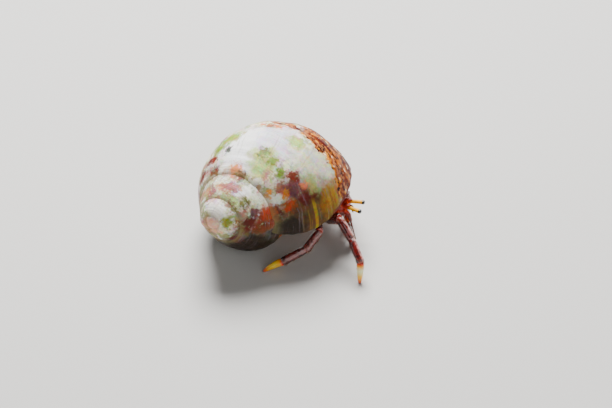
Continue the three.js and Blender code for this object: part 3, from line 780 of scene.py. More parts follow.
def shell_inside():
    """The hollow: an ellipse off the tube's middle that narrows inward over its length and widens
    to the lip over the last fifth."""
    angle = np.linspace(-pi, pi, SECTION_SIDES, endpoint=False)
    back = np.linspace(0, 1, 64)
    s, a = np.meshgrid(1 - back, angle, indexing="ij")
    end = -LIP_SLANT * np.sin(a + TUBE_LEAN)
    phase = mix(-BORE_TURNS * tau, end, s)
    flare = np.clip((s - 0.82) / 0.18, 0, 1) ** 2
    fade = np.minimum(1, 0.75 + s) * np.sqrt(np.clip(s / 0.05, 0.02, 1))
    part = {key: mix(BORE[key], MOUTH[key], flare) for key in BORE}
    grid = shell_point(phase, part["out"] + fade * part["width"] * np.cos(a),
                       part["down"] + fade * part["height"] * np.sin(a))
    return grid, shell_flat(-60 * back - 1)


def lip_rows(outer, inner, bulge):
    """Half a round from the outer edge to the inner one, pushed forward by bulge mm, the way the
    shell grows about its own axis."""
    arc = np.linspace(0, pi, 9)[1:-1, None, None]
    forward = unit(np.cross(-UP, outer))
    thick = np.linalg.norm(outer - inner, axis=-1, keepdims=True)
    middle, half = (outer + inner) / 2, (outer - inner) / 2
    return middle + half * np.cos(arc) + forward * np.minimum(thick / 2, bulge) * np.sin(arc)


def shell_knob():
    """The worn tip: a sphere on the coiling axis, dented a little by noise."""
    way = sphere(30, 48, 0.03)
    grid = way * (KNOB_RADIUS - 0.12 + 0.05 * waves(way * KNOB_RADIUS, 1.8, 31)[..., None])
    return grid - KNOB_DEPTH * UP


def build_shell(settings):
    """The shell: outer face, lip and hollow in one closed skin, and the worn tip."""
    outside, outer_flat, suture = shell_outside(settings.suture_fill / MM, settings.relief)
    inside, inner_flat = shell_inside()
    lip = lip_rows(outside[-1], inside[0], settings.lip_round / MM)
    lip_flat = np.repeat(outer_flat[-1:], len(lip), 0)
    grid = on_floor(as_it_lies(np.concatenate([outside, lip, inside])))
    flat = np.concatenate([outer_flat, lip_flat, inner_flat])
    inner_from = len(outside) + len(lip) // 2 + 1
    finish = np.where(np.arange(len(grid)) < inner_from, 0, 1)
    body = closed_tube(grid, flat, finish)
    knob = on_floor(as_it_lies(shell_knob()))
    tip = closed_tube(knob, np.full((knob.shape[0], knob.shape[1] + 1, 2), WORN_PLACE))
    rest = np.zeros((len(grid) - len(outside)) * SECTION_SIDES)
    poles_and_knob = np.full(2 + len(tip["points"]), 0.4)
    put("turban_shell", [body, tip], [worn_shell(), nacre()], ["shell"],
        {"suture": np.concatenate([suture.ravel(), rest, poles_and_knob])})


def worn_shell():
    """Turban shell: aragonite. The crown is bleached and chalky, with stains and thin crusts of
    green and pink algae. The base side is less worn and keeps its glossy rows of red, yellow and
    white flecks."""
    material, where = start("WornTurbanShell")
    flat = pattern(where)
    across, growth = flat.axis("X"), flat.axis("Y")
    loose = where.warped(2.0, 5.0)
    tight = where.warped(0.75, 3.2)

    # Chalky ground: cream to lilac grey in soft clouds, with pale green, pink and white over it.
    colour = blend(where.noise(4.0).mask(0.38, 0.62), "e6dfbe", "c6b9b0")
    for shift, size, low, high, share, tone in CRUSTS:
        cloud = loose.vector("ADD", shift).noise(size, 4.0).mask(low, high)
        colour = blend(cloud * share, colour, tone)
    holes = tight.noise(0.8, 5.0).mask(0.27, 0.4)
    # Stains, and painted shade low on the shell.
    for place, radius, tone, strength in STAINS_AND_PAINTED_SHADE:
        away = (loose if radius > LOOSE_STAIN else tight).vector("DISTANCE", place, output="Value")
        cover = away.mask(radius * 1.4, radius * 0.6)
        if radius < WHOLE_STAIN:
            cover = cover * holes
        colour = blend(cover * strength, colour, tone)

    # Painted shade, darker toward the floor, and yellow streaks in the film by the lip.
    colour = blend(loose.axis("Z").mask(8.5, 5.0) * 0.85, colour, "201204")
    streaks = flat.stretched_noise((1.3, 0.1, 1.0))
    broad = (across + streaks * 1.2).around(STREAK_PLACE + 0.6, 0.4, 0.1)
    streak = broad.math("MAXIMUM", streaks.mask(0.53, 0.62) * 0.6)
    filmed = growth.mask(6.5, 4.0) * across.mask(21.0, 24.0)
    colour = blend(streak * (filmed * 0.75), colour, "b09200")
    mottle = tight.noise(1.1, 6.0, 0.68, "Color")
    mottle = mottle.vector("MULTIPLY_ADD", (2.6, 2.6, 2.6), (-0.8, -0.8, -0.8))
    colour = blend(0.5, colour, mottle, "OVERLAY")

    # Threads along the spiral and lines across it.
    wavy = flat.warped(2.0, 0.8)
    threads = wavy.stretched_noise((2.6, 0.12, 1.0))
    lines = wavy.stretched_noise((0.1, 1.8, 1.0))
    patchy = where.noise(3.0).mask(0.4, 0.6)
    colour = blend(threads.mask(0.52, 0.68) * (patchy * 0.4), colour, "7c727c")
    colour = blend(lines.mask(0.56, 0.72) * 0.3, colour, "5d4a22")

    # Dirt and green film lie in the sutures, and small pits are dark.
    suture = Wire(add(where.tree, "ShaderNodeAttribute", attribute_name="suture").outputs["Fac"])
    colour = blend(suture.mask(0.45, 1.0) * 0.45, colour, "8a8050")
    speck = tight.cells(1.6).mask(0.2, 0.08) * where.noise(2.0).mask(0.5, 0.6)
    colour = blend(speck * 0.55, colour, "6b5f45")

    # The fresh band begins a little past the whorl's widest line and lies lower toward the lip.
    inner_edge = growth.math("MINIMUM", BAND_LEVEL) * BAND_RISE + BAND_START
    ragged = (where.noise(1.6, 5.0) - 0.5) * 3.2
    past = across - inner_edge + ragged
    fresh = past.mask(-0.1, 0.25) * (growth + ragged).mask(15.5, 13.5)
    left_over = where.noise(2.0, 4.0) + growth.mask(30.0, 16.0) * 0.05
    remains = past.mask(0.2, 0.8) * left_over.mask(0.51, 0.56)
    glossy = fresh.math("MAXIMUM", remains)
    colour = blend(glossy, colour, fleck_pattern(flat, where, past))
    colour = blend(growth.mask(0.7, 0.25) * past.mask(-3.0, 0.0), colour, "6b1a0c")

    pits = where.noise(0.5, 6.0, 0.7)
    normal = lines.bump(0.08, 0.5, threads.bump(0.1, 0.6, pits.bump(0.12, 0.5)))
    rough = glossy * -0.12 + (pits * 0.3 + 0.42)
    return surface(material, {"Base Color": colour, "Roughness": rough, "Normal": normal,
                              "IOR": 1.53, "Specular IOR Level": 0.2})


def fleck_pattern(flat, where, past):
    """Colour of the fresh band: grounds of gold, rose white, orange and red brown lie side by side
    across it, and dark and pale dashes run along the spiral over them."""
    wander = (where.noise(1.6, 3.0) - 0.5) * 4.0
    colour = (past + wander).math("DIVIDE", BAND_FULL).ramp(
        (0.0, "c87800"), (0.09, "6a0e00"), (0.19, "b87038"), (0.27, "600c00"), (0.38, "c06800"),
        (0.52, "5c0c00"), (0.74, "4c0a00"), (1.0, "340600"))
    bent = where.noise(1 / 0.9, 5.0, 0.75, "Color").scaled(2.2)
    for rates, share, reach, tone in FLECKS:
        distance = flat.vector("MULTIPLY", rates).vector("ADD", bent).cells(1.0)
        pick = distance.beside("Color").into("ShaderNodeSeparateColor")
        dash = distance.mask(reach, reach - 0.12) * pick.mask(share + 0.02, share - 0.02)
        colour = blend(dash, colour, tone)
    return colour


def nacre():
    """Nacre: thin aragonite plates that line the hollow, milky with faint pink and green clouds."""
    material, where = start("Nacre")
    colour = where.noise(4.0).ramp(
        (0.25, "e6ddd6"), (0.45, "d9cfd0"), (0.6, "cfd6c8"), (0.75, "e2cfc8"))
    return surface(material, {"Base Color": colour, "Roughness": 0.24, "IOR": 1.6,
                              "Coat Weight": 0.6, "Coat Roughness": 0.1,
                              "Normal": where.noise(1.2).bump(0.08, 0.4)})


# ---- Cuticle ----


def leg_cuticle(settings, name="MaroonCuticle", painted_highlight_strength=0.85):
    """Calcified crab cuticle, as on the walking legs: deep maroon, smooth and waxy, with a painted
    highlight, a pale rose streak on the upper front side, bright red toward the joints, and fine
    pits."""
    material, where = start(name)
    flat = pattern(where)
    across, along = flat.axis("X"), flat.axis("Y")
    maroon = tuple(settings.leg_colour) + (1.0,)
    colour = blend(where.noise(0.9, 4.0).mask(0.35, 0.65), maroon, "350403")
    joint = along.around(0.5, 0.36, 0.47)
    colour = blend(joint * 0.8, colour, "a81400")
    patchy = where.noise(0.6, 5.0).mask(0.3, 0.6)
    # Painted highlight: a pale rose streak along the upper front side, broken by noise and faded at
    # the joints.
    painted_highlight_flank = across.around(0.1, 0.15, 0.06) * (patchy * joint.mask(1.0, 0.3))
    colour = blend(painted_highlight_flank * painted_highlight_strength, colour, "e6a8a2")
    pits = where.cells(5.0)
    colour = blend(pits.mask(0.2, 0.08) * 0.35, colour, "d0603a")
    return surface(material, {"Base Color": colour, "Roughness": 0.27, "IOR": 1.5,
                              "Normal": pits.mask(0.08, 0.3).bump(0.02, 0.6),
                              "Coat Weight": 1.0, "Coat Roughness": 0.08})


def joint_skin(name="JointSkin", tones=("8c1c04", "b84a1c")):
    """Soft cuticle in the joints: orange red, or maroon on the claws, thin and slightly
    see-through."""
    material, where = start(name)
    return surface(material, {"Base Color": blend(where.noise(0.5), *tones), "Roughness": 0.35,
                              "IOR": 1.42, "Subsurface Weight": 0.25,
                              "Subsurface Radius": (1.0, 0.4, 0.2), "Subsurface Scale": 0.3 * MM})


def bristle_horn(name="BristleChitin"):
    """Chitin of the bristles: straw yellow to amber."""
    material, where = start(name)
    return surface(material, {"Base Color": blend(where.noise(0.8), "c9a066", "7a3a1a"),
                              "Roughness": 0.4, "IOR": 1.5})


def claw_horn():
    """Crab cuticle of the claw's fingers: maroon, orange toward horny dark tips."""
    material, where = start("ClawFingerCuticle")
    along = pattern(where).axis("Y")
    colour = (along + (where.noise(0.5) - 0.5) * 0.3).ramp(
        (0.2, "6e0d06"), (0.5, "a82404"), (0.7, "e07008"), (0.85, "c04a04"), (0.95, "200805"))
    return surface(material, {"Base Color": colour, "Roughness": 0.28, "IOR": 1.5,
                              "Coat Weight": 0.6, "Coat Roughness": 0.1,
                              "Normal": where.noise(0.25).bump(0.02, 0.4)})


def toe_cuticle(name="BandedToeCuticle", pale="fff4c0"):
    """Crab cuticle of the toes: a red ring at the joint, then cream, yellow and orange to a dark,
    horny tip."""
    material, where = start(name)
    along = pattern(where).axis("Y")
    colour = (along + (where.noise(0.7) - 0.5) * 0.12).ramp(
        (0.0, "6a0a02"), (0.1, "b81400"), (0.19, "ff4a00"), (0.28, "ffb400"), (0.42, pale),
        (0.58, "ffc800"), (0.74, "ff7800"), (0.88, "e03800"), (0.96, "2a0602"))
    return surface(material, {"Base Color": colour, "Roughness": 0.28, "IOR": 1.5,
                              "Coat Weight": 0.4, "Coat Roughness": 0.12, "Subsurface Weight": 0.4,
                              "Subsurface Radius": (1, 0.6, 0.25), "Subsurface Scale": 0.7 * MM,
                              "Normal": where.noise(0.25).bump(0.02, 0.4)})


def shield_cuticle(name="BrickRedCuticle"):
    """Crab cuticle of the shield and head: brick red to orange in blotches, with fine pits."""
    material, where = start(name)
    colour = where.noise(0.8, 4.0).ramp(
        (0.3, "7a0c02"), (0.48, "b82000"), (0.6, "e84a00"), (0.72, "ff9420"))
    return surface(material, {"Base Color": colour, "Roughness": 0.34, "IOR": 1.5,
                              "Normal": where.cells(4.0).mask(0.05, 0.3).bump(0.04, 0.7),
                              "Coat Weight": 0.15, "Coat Roughness": 0.2,
                              "Specular IOR Level": 0.35})


def soft_cuticle(name, tones=("b5705a", "cf9578", "dfb598")):
    """Thin, uncalcified cuticle, as on the abdomen and the hind legs: pinkish cream, or dark maroon
    on the trunk as painted shade, wrinkled, and light goes a little way in."""
    material, where = start(name)
    colour = where.noise(1.8, 4.0).ramp(*zip((0.3, 0.5, 0.7), tones))
    return surface(material, {"Base Color": colour, "Roughness": 0.4, "IOR": 1.42,
                              "Subsurface Weight": 0.3, "Subsurface Radius": (1.0, 0.5, 0.35),
                              "Subsurface Scale": 0.8 * MM,
                              "Normal": where.noise(0.5, 4.0).bump(0.06, 0.6)})


def stalk_cuticle(settings):
    """Crab cuticle of the eyestalks: golden yellow, red at the base."""
    material, where = start("GoldenStalkCuticle")
    along = pattern(where).axis("Y")
    gold = tuple(settings.stalk_colour) + (1.0,)
    colour = blend(along.mask(0.42, 0.24), gold, "b82c04")
    colour = blend(where.noise(0.4).mask(0.5, 0.8) * 0.4, colour, "b8860c")
    return surface(material, {"Base Color": colour, "Roughness": 0.42, "IOR": 1.5,
                              "Specular IOR Level": 0.25, "Subsurface Weight": 0.1,
                              "Subsurface Radius": (1, 0.6, 0.05), "Subsurface Scale": 0.2 * MM,
                              "Normal": where.noise(0.2).bump(0.01, 0.4)})


def cornea():
    """Compound eye: black, mirror-smooth cornea over fine six-sided facets."""
    material, where = start("CompoundEye")
    facets = where.cells(22.0, feature="DISTANCE_TO_EDGE")
    colour = blend(facets.mask(0.02, 0.1), "1d1a1c", "08080a")
    return surface(material, {"Base Color": colour, "Roughness": 0.16, "IOR": 1.5,
                              "Coat Weight": 1.0, "Coat Roughness": 0.03,
                              "Normal": facets.bump(0.004, 0.3)})


def ringed_cuticle():
    """Crab cuticle of the feelers: maroon, brick red on the stout links, with darker joints."""
    material, where = start("RingedFeelerCuticle")
    along = pattern(where).axis("Y")
    wave = (along * (tau * FEELER_RINGS)).math("SINE")
    colour = blend(wave.mask(0.2, 0.9), "7a1c08", "3c0a06")
    colour = blend(along.mask(0.3, 0.1), colour, "a81c04")
    return surface(material, {"Base Color": colour, "Roughness": 0.32, "IOR": 1.5,
                              "Coat Weight": 0.3, "Coat Roughness": 0.15,
                              "Normal": wave.bump(0.02, 0.5)})


# ---- Limbs ----


def segment(start, end, side, size, over, bow=0.0, power=2.0, swell=None):
    """A limb segment between two joints, over mm past both, and flat where it meets the floor."""
    return on_floor(sweep(between(start, end, over, bow, 60), side, size, 28, power, swell))


def mirrored(grid):
    """The flat pattern of a limb on the left, so that its markings mirror the right limb's."""
    rows, count = grid.shape[:2]
    around = 0.5 - np.linspace(0, 1, count + 1)
    return np.stack(np.meshgrid(around, np.linspace(0, 1, rows)), -1)


def build_legs(settings):
    """The four walking legs, each swept from joint to joint, with a soft knuckle at every joint
    and bristles that are thickest below and sparse toward the joints."""
    soft, hair = joint_skin(), bristle_horn()
    finishes = {"leg_2": (leg_cuticle(settings), toe_cuticle()),
                # Leg 3 takes the same cuticle with a weaker painted highlight.
                "leg_3": (leg_cuticle(settings, "MaroonCuticleFaintPaintedHighlight", 0.22),
                          toe_cuticle("OrangeToeCuticle", "ffd228"))}
    bows = {"merus": 0.25, "carpus": 0.1, "propodus": 0.1, "dactyl": 0.25}

    def below(s, a):
        """The share of tufts kept."""
        return (0.15 + 0.85 * smooth(0.1, 0.8, -np.sin(tau * a))) * smooth(0.02, 0.15, s)

    for number, (name, (hip_x, bends)) in enumerate(LEGS.items()):
        base, hip = limb_root(hip_x, np.sign(bends[0][0]))
        joints = chain(hip, LEG_LENGTHS.values(), bends)
        reach = unit((joints[-1] - base) * np.array([1, 1, 0]))
        side = np.array([-reach[1], reach[0], 0])
        tufts = []
        for i, (part, height) in enumerate(LEG_HEIGHTS.items()):
            toe = part == "dactyl"
            if toe:
                size, over, power, count, length = toe_size(LEG_WIDTH, height), 0.12, 2.0, 90, 0.26
            else:
                size = limb_size(LEG_WIDTH * 1.02, height * 1.02)
                over, power, count, length = 0.28, 2.2, 130, 0.42
            grid = segment(joints[i], joints[i + 1], side, size, over, bows[part], power)
            flat = mirrored(grid) if name.endswith("left") else None
            put(f"skin_{name}_{part}",
                [closed_tube(grid, flat), knuckle(joints[i] + 0.05 * UP, 0.4 * LEG_WIDTH)],
                [finishes[name[:5]][toe], soft], [f"{name}_{part}"])
            tufts += plant(grid, count, 100 + 10 * number + i, below, length, 0.035, 0.72,
                           (i / 4, 1 / 4))
        put(f"setae_{name}", tufts, [hair], patch_map="OFBake")


def build_claws(settings):
    """Both chelipeds: grainy arm, wrist and palm, and two toothed fingers that leave a gap."""
    # The claws take the same cuticle with only a faint painted highlight.
    maroon, tips = leg_cuticle(settings, "ClawCuticle", 0.15), claw_horn()
    soft, hair = joint_skin("ClawJointSkin", ("4c0c04", "701c0a")), bristle_horn("ClawBristles")

    def grains(s, a):
        """Rows of low grains, fading at both ends."""
        bumps = np.maximum(0, np.sin(s * 38 + 3 * np.cos(a)) * np.sin(9 * a))
        return 0.035 * bumps * smooth(0.1, 0.2, s) * smooth(0.95, 0.8, s)

    def outward(s, a):
        """The share of tufts kept, more toward the tip."""
        return 0.35 + 0.65 * smooth(0.3, 0.9, s)

    for name, (lengths, height, thick, bends) in CLAWS.items():
        out = OUT[name]
        hip = limb_root(CLAW_HIP_X, out)[1]
        joints = chain(hip, lengths, bends)
        side = unit(np.array([1, 0, 0.3]))
        parts = [("arm", limb_size(thick * 0.78, height * 0.64)),
                 ("wrist", limb_size(thick * 0.95, height * 0.78, 0.7))]
        tufts = []
        for i, (part, size) in enumerate(parts):
            grid = segment(joints[i], joints[i + 1], side, size, 0.25, power=2.3, swell=grains)
            put(f"skin_cheliped_{name}_{part}",
                [closed_tube(grid), knuckle(joints[i + 1], 0.36 * thick)],
                [maroon, soft], [f"cheliped_{name}_{part}"])
            tufts += plant(grid, 70, 200 + i, outward, 0.3, 0.03, 0.7, (i / 5, 1 / 5))
        gape, tip = joints[3], joints[4]
        along = unit(tip - gape)
        across = unit(np.cross(along, side)) * out
        palm = segment(joints[2], gape, side, barrel(thick * 1.02, height * 1.02, 0, 3.2), 0.3,
                       power=2.4, swell=grains)
        tufts += plant(palm, 130, 203, outward, 0.3, 0.03, 0.7, (2 / 5, 1 / 5))
        fingers = []
        for offset in (-1, 1):

            def teeth(s, a):
                """Low teeth along the side toward the other finger."""
                facing = smooth(0.2, 0.9, -offset * out * np.sin(a))
                return 0.05 * np.cos(s * 34) * smooth(0.2, 0.4, s) * facing

            start = gape + across * offset * height * 0.27 - 0.4 * along
            end = tip + across * offset * 0.24
            grid = segment(start, end, side, claw_size(thick * 0.72, height * 0.48, 0.36), 0,
                           swell=teeth)
            tufts += plant(grid, 60, 204 + offset, outward, 0.22, 0.03, 0.7,
                           ((3.5 + offset / 2) / 5, 1 / 5))
            fingers.append(closed_tube(grid))
        fingers[0]["marks"] += 1
        put(f"skin_cheliped_{name}_palm", [closed_tube(palm), fingers[0]], [maroon, tips],
            [f"cheliped_{name}_palm"])
        put(f"skin_cheliped_{name}_finger", [fingers[1]], [tips],
            [f"cheliped_{name}_finger"])
        put(f"setae_cheliped_{name}", tufts, [hair], patch_map="OFBake")


def trunk_sizes(x):
    """Half width and half height of the trunk at X, and its middle's height."""
    s = np.clip((x - REAR_X) / BODY_LENGTH, 0, 1)
    grown = round_ends(s, 3) * (1 - 0.12 * (s - 0.5)) / 2
    middle = BODY_Z + 0.3 * (1 - s) ** 2 + 0.2 * s * (1 - s) + 0.2 * s**2
    return BODY_WIDTH * grown, BODY_HEIGHT * grown, middle


def plate(x0, x1, reach, lift, thick, front=None, sculpt=None):
    """A thin shell over the trunk's back: along X the plate's half angle follows a superellipse;
    round each ring the angle runs out and back as a cosine, and the height off the trunk as a
    sine."""
    s = ease(60)
    around = tau * np.arange(56) / 56
    closing = round_ends(s, 8)
    share = closing[:, None] * np.cos(around)[None]
    x = mix(x0, x1, s)[:, None] + 0 * share
    if front is not None:
        x = x + front(s[:, None], share)
    angle = share * reach
    wide, high, middle = trunk_sizes(x)
    off = lift + thick * closing[:, None] * np.sin(around)[None]
    if sculpt is not None:
        off = off + sculpt(s[:, None], share) * (np.sin(around)[None] > 0)
    y = (wide + off) * np.sin(angle)
    z = middle + (high + off) * np.cos(angle)
    return np.stack([x, MIDLINE + y, z], -1)


def build_body():
    """The shield, the rear carapace and the trunk with the limbs' first, fixed segments."""
    brick, hair = shield_cuticle(), bristle_horn("ShieldBristles")
    # Painted shade: the trunk's soft cuticle is dark maroon, for the shade under the shell's lip.
    soft = soft_cuticle("TrunkCuticlePaintedShade", ("3c0a06", "5c140a", "7c2414"))

    def front(s, share):
        """The front margin: a short beak in the middle and a point on each side."""
        beak = 0.42 * np.exp(-((share / 0.16) ** 2))
        sides_out = 0.2 * np.exp(-(((np.abs(share) - 0.55) / 0.12) ** 2))
        return (beak + sides_out - 0.25 * share**2) * smooth(0.7, 1, s)

    def groove(s, share):
        """The curved neck groove and the mid line."""
        neck = np.exp(-(((s - 0.45 - 0.25 * share**2) / 0.05) ** 2))
        middle = np.exp(-((share / 0.04) ** 2)) * smooth(0.5, 0.2, s)
        return -0.1 * (neck * smooth(0.95, 0.6, np.abs(share))) - 0.04 * middle

    def by_edge(s, a):
        """The share of tufts kept: the upper face, and mostly by its side margins."""
        margin = smooth(0.5, 0.9, np.abs(np.cos(tau * a)))
        return smooth(0, 0.3, np.sin(tau * a)) * (0.15 + 0.85 * margin)

    shield = plate(SEAM_X + 0.02, HEAD_X + 0.05, 1.28, -0.03, 0.1, front, groove)
    put("skin_shield", [closed_tube(shield)], [brick], ["carapace_shield"])
    put("setae_shield", plant(shield, 160, 303, by_edge, 0.2, 0.02, 0.6), [hair],
        patch_map="OFBake")
    rear = plate(REAR_X - 0.15, SEAM_X + 0.25, 1.25, -0.1, 0.08)
    put("skin_rear_carapace", [closed_tube(rear)], [soft], ["carapace_rear"])

    s = ease(70)
    x = mix(REAR_X + 0.02, HEAD_X - 0.12, s)
    around = tau * np.arange(48) / 48
    wide, high, middle = trunk_sizes(x)
    ribs = 0.05 * np.cos((x[:, None] - 12.4) * pi) * smooth(0.3, 0.9, np.abs(np.cos(around)))
    y = (wide[:, None] - 0.12 + ribs) * np.cos(around)
    z = middle[:, None] + (high[:, None] - 0.12 + ribs) * np.sin(around)
    chest = np.stack([x[:, None] + 0 * y, MIDLINE + y, z], -1)
    patches = [closed_tube(chest)]
    hips = [(hip_x, np.sign(bends[0][0])) for hip_x, bends in LEGS.values()]
    hips += [(CLAW_HIP_X, out) for out in OUT.values()]
    for hip_x, out in hips:
        path = between(*limb_root(hip_x, out), 0.25, 0, 30)
        patches.append(closed_tube(sweep(path, np.array([1.0, 0, 0]), barrel(1.02, 1.12), 20)))
    put("skin_thorax", patches, [soft], ["thorax"])


def build_eyes(settings):
    """The eyestalks, the corneas, and the scales at the roots of the stalks and feelers."""
    gold, black, brick = stalk_cuticle(settings), cornea(), shield_cuticle("EyeScaleCuticle")

    def stalk(s):
        """A slim stalk, flared at its base and a little under the eye."""
        wide = 0.7 + 0.24 * np.exp(-((s / 0.14) ** 2)) + 0.08 * smooth(0.75, 1, s)
        half = wide * round_ends(s, 12) / 2
        return half, half

    def scale(foot, tip, over, size):
        """A pointed scale, raised in the middle."""
        path = between(foot, tip, over, 0.1, 30)
        return closed_tube(sweep(path, np.array([0, 1.0, 0]), size, 20))

    scales = []
    for name, heading in (("left", 3), ("right", -17)):
        out = OUT[name]
        base = on_body(HEAD_X - 0.35, 0.72 * out, EYE_Z)
        way = heading_way(heading, 2)
        end = base + STALK_LENGTH * way
        grid = sweep(between(base, end, 0.15, 0, 60), UP, stalk, 28)
        put(f"skin_eyestalk_{name}", [closed_tube(grid)], [gold], [f"eyestalk_{name}"])
        path = between(end - 0.12 * way, end + 0.58 * way, 0, 0, 40)
        eye = sweep(path, UP, barrel(0.8, 0.82, 0, 2.3), 32)
        put(f"skin_cornea_{name}", [closed_tube(eye)], [black], [f"cornea_{name}"])
        foot = on_body(HEAD_X - 0.75, 0.62 * out, EYE_Z + 0.38)
        scales.append(scale(foot, foot + 1.2 * way, 0, claw_size(0.86, 0.3, 0.22)))
        foot = on_body(HEAD_X - 0.8, 1.35 * out, EYE_Z - 0.45)
        tip = on_body(HEAD_X + 0.25, 1.6 * out, EYE_Z - 0.6)
        scales.append(scale(foot, tip, 0.1, claw_size(0.95, 0.8, 0.2)))
    put("eye_scales", scales, [brick])


def small_limb(points, out, size, sides, swell=None, count=60):
    """A body swept through points of a small limb on the side that out tells."""
    path = curve_through([on_body(x, y * out, z) for x, y, z in points], count)
    return sweep(path, unit(np.cross(path[-1] - path[0], UP)), size, sides, swell=swell)


def build_feelers():
    """The antennae, the antennules and the third maxillipeds."""
    ringed, brick = ringed_cuticle(), shield_cuticle("FeelerBaseCuticle")
    hair = bristle_horn("FeelerBristles")

    def near_tip(s, a):
        """The share of tufts kept."""
        return 0.2 + 0.8 * smooth(0.3, 0.9, s)

    def antenna(s):
        """Three stout links, then a whip of many short rings that thins to its tip."""
        links = 0.95 - 0.4 * smooth(0, 0.3, s) + 0.07 * np.abs(np.sin(s * pi / 0.11))
        whip = (0.44 - 0.26 * s) * (1 + 0.1 * np.sin(s * tau * FEELER_RINGS))
        half = np.where(s < 0.33, links, whip) * round_ends(s, 14) / 2
        return half, half

    def antennule(s):
        """A thin stem of low rings that narrows to its tip."""
        half = (0.34 - 0.14 * s) * round_ends(s, 8) * (1 + 0.12 * np.sin(s * 30)) / 2
        return half, half

    def links(s, a):
        """A low swelling to each link."""
        return 0.05 * np.abs(np.sin(s * pi * 4.5)) + 0 * a

    for name, out in OUT.items():
        tufts = []
        for i, (part, finish, grid, count, seed, length, thick, lean) in enumerate([
                ("antenna", ringed, small_limb(ANTENNAE[name], out, antenna, 14, count=160),
                 70, 300, 0.16, 0.02, 0.5),
                ("antennule", ringed, small_limb(ANTENNULE, out, antennule, 14),
                 36, 301, 0.2, 0.02, 0.6),
                ("maxilliped", brick, small_limb(MAXILLIPED, out, barrel(0.62, 0.7, -0.35, 5), 18,
                                                 links), 80, 302, 0.3, 0.025, 0.6)]):
            tufts += plant(grid, count, seed, near_tip, length, thick, lean, (i / 3, 1 / 3))
            put(f"skin_{part}_{name}", [closed_tube(grid)], [finish], [f"{part}_{name}"])
        put(f"setae_face_{name}", tufts, [hair], patch_map="OFBake")


def build_hind_legs():
    """The two small pairs of hind legs."""
    soft, hair = soft_cuticle("HindLegCuticle"), bristle_horn("HindLegBristles")

    def links(s, a):
        """A low swelling to each link."""
        return 0.06 * np.abs(np.sin(s * pi * 4)) - 0.03 + 0 * a

    for name, out in OUT.items():
        tufts = []
        for i, (leg, route, wide, high) in enumerate([("leg_4", LEG_4, 0.66, 0.9),
                                                      ("leg_5", LEG_5, 0.5, 0.56)]):
            grid = small_limb(route, out, barrel(wide, high, 0.1, 6), 20, links, 70)
            put(f"skin_{leg}_{name}", [closed_tube(grid)], [soft], [f"{leg}_{name}"])
            tufts += plant(grid, 70, 304, lambda s, a: s, 0.24, 0.025, 0.6, (i / 2, 1 / 2))
        put(f"setae_hind_legs_{name}", tufts, [hair], patch_map="OFBake")


def abdomen_path():
    """From the trunk's rear into the shell, then round the spiral on its inner side."""
    phase = -tau * mix(0.03, ABDOMEN_TURNS, np.arange(8) / 7)
    coil = as_it_lies(shell_point(phase, np.full(8, -0.2), np.full(8, 0.15)))
    rear = [on_body(REAR_X + 0.8, 0, BODY_Z + 0.3), on_body(REAR_X - 1.1, 0, BODY_Z + 1.2)]
    return np.concatenate([rear, coil])


def build_abdomen():
    """The abdomen, which thins along its coil, and the three lobes of the tail fan."""
    soft = soft_cuticle("AbdomenCuticle")
    path = curve_through(abdomen_path(), 240)
    last = 225  # the place on the path where the tail fan starts

    def size(s):
        """Half sizes of a barrel that narrows ever faster toward its end."""
        half = barrel(ABDOMEN_THICK, ABDOMEN_THICK, 0, 8)(s)[0] * mix(1, 0.42, s**1.5)
        return half, half

    def folds(s, a):
        """Fine wavy folds across the skin."""
        return 0.05 * np.sin(s * 120 + 0.6 * np.sin(2 * a)) * smooth(0.05, 0.2, s) - 0.05

    grid = sweep(path[: last + 1], np.array([0, 1.0, 0]), size, 40, swell=folds)
    put("skin_abdomen", [closed_tube(grid)], [soft], ["abdomen_front", "abdomen_rear"])
    end, way = path[last], unit(path[last + 3] - path[last - 3])
    lobes = []
    for turn in (-0.7, 0, 0.7):
        aside = way * cos(turn) + np.cross(UP, way) * sin(turn)
        lobe = sweep(between(end, end + 1.45 * aside, 0, 0, 30), UP, barrel(0.5, 0.8, 0.2, 3), 20)
        lobes.append(closed_tube(lobe))
    put("skin_tail_fan", lobes, [soft], ["tail_fan"])


# ---- Stage ----

LIGHTS = [  # place in metres, size, power
    ("key", (-0.06, 0.22, 0.35), 0.26, 6.0),
    ("fill", (0.22, -0.28, 0.24), 0.35, 0.5),
    ("side", (-0.32, -0.05, 0.2), 0.3, 0.2),
]
LIT_PLACE = Vector((0.005, 0.003, 0.006))
SKY_STRENGTH = 0.07
CAMERA_WAY = (-77.4, 45)  # heading and slope from the crab to the camera, in degrees
CAMERA_TARGET = (10.5, 1.86, 7.5)
VIEW_WIDTH = 109.3  # width of the view at the target


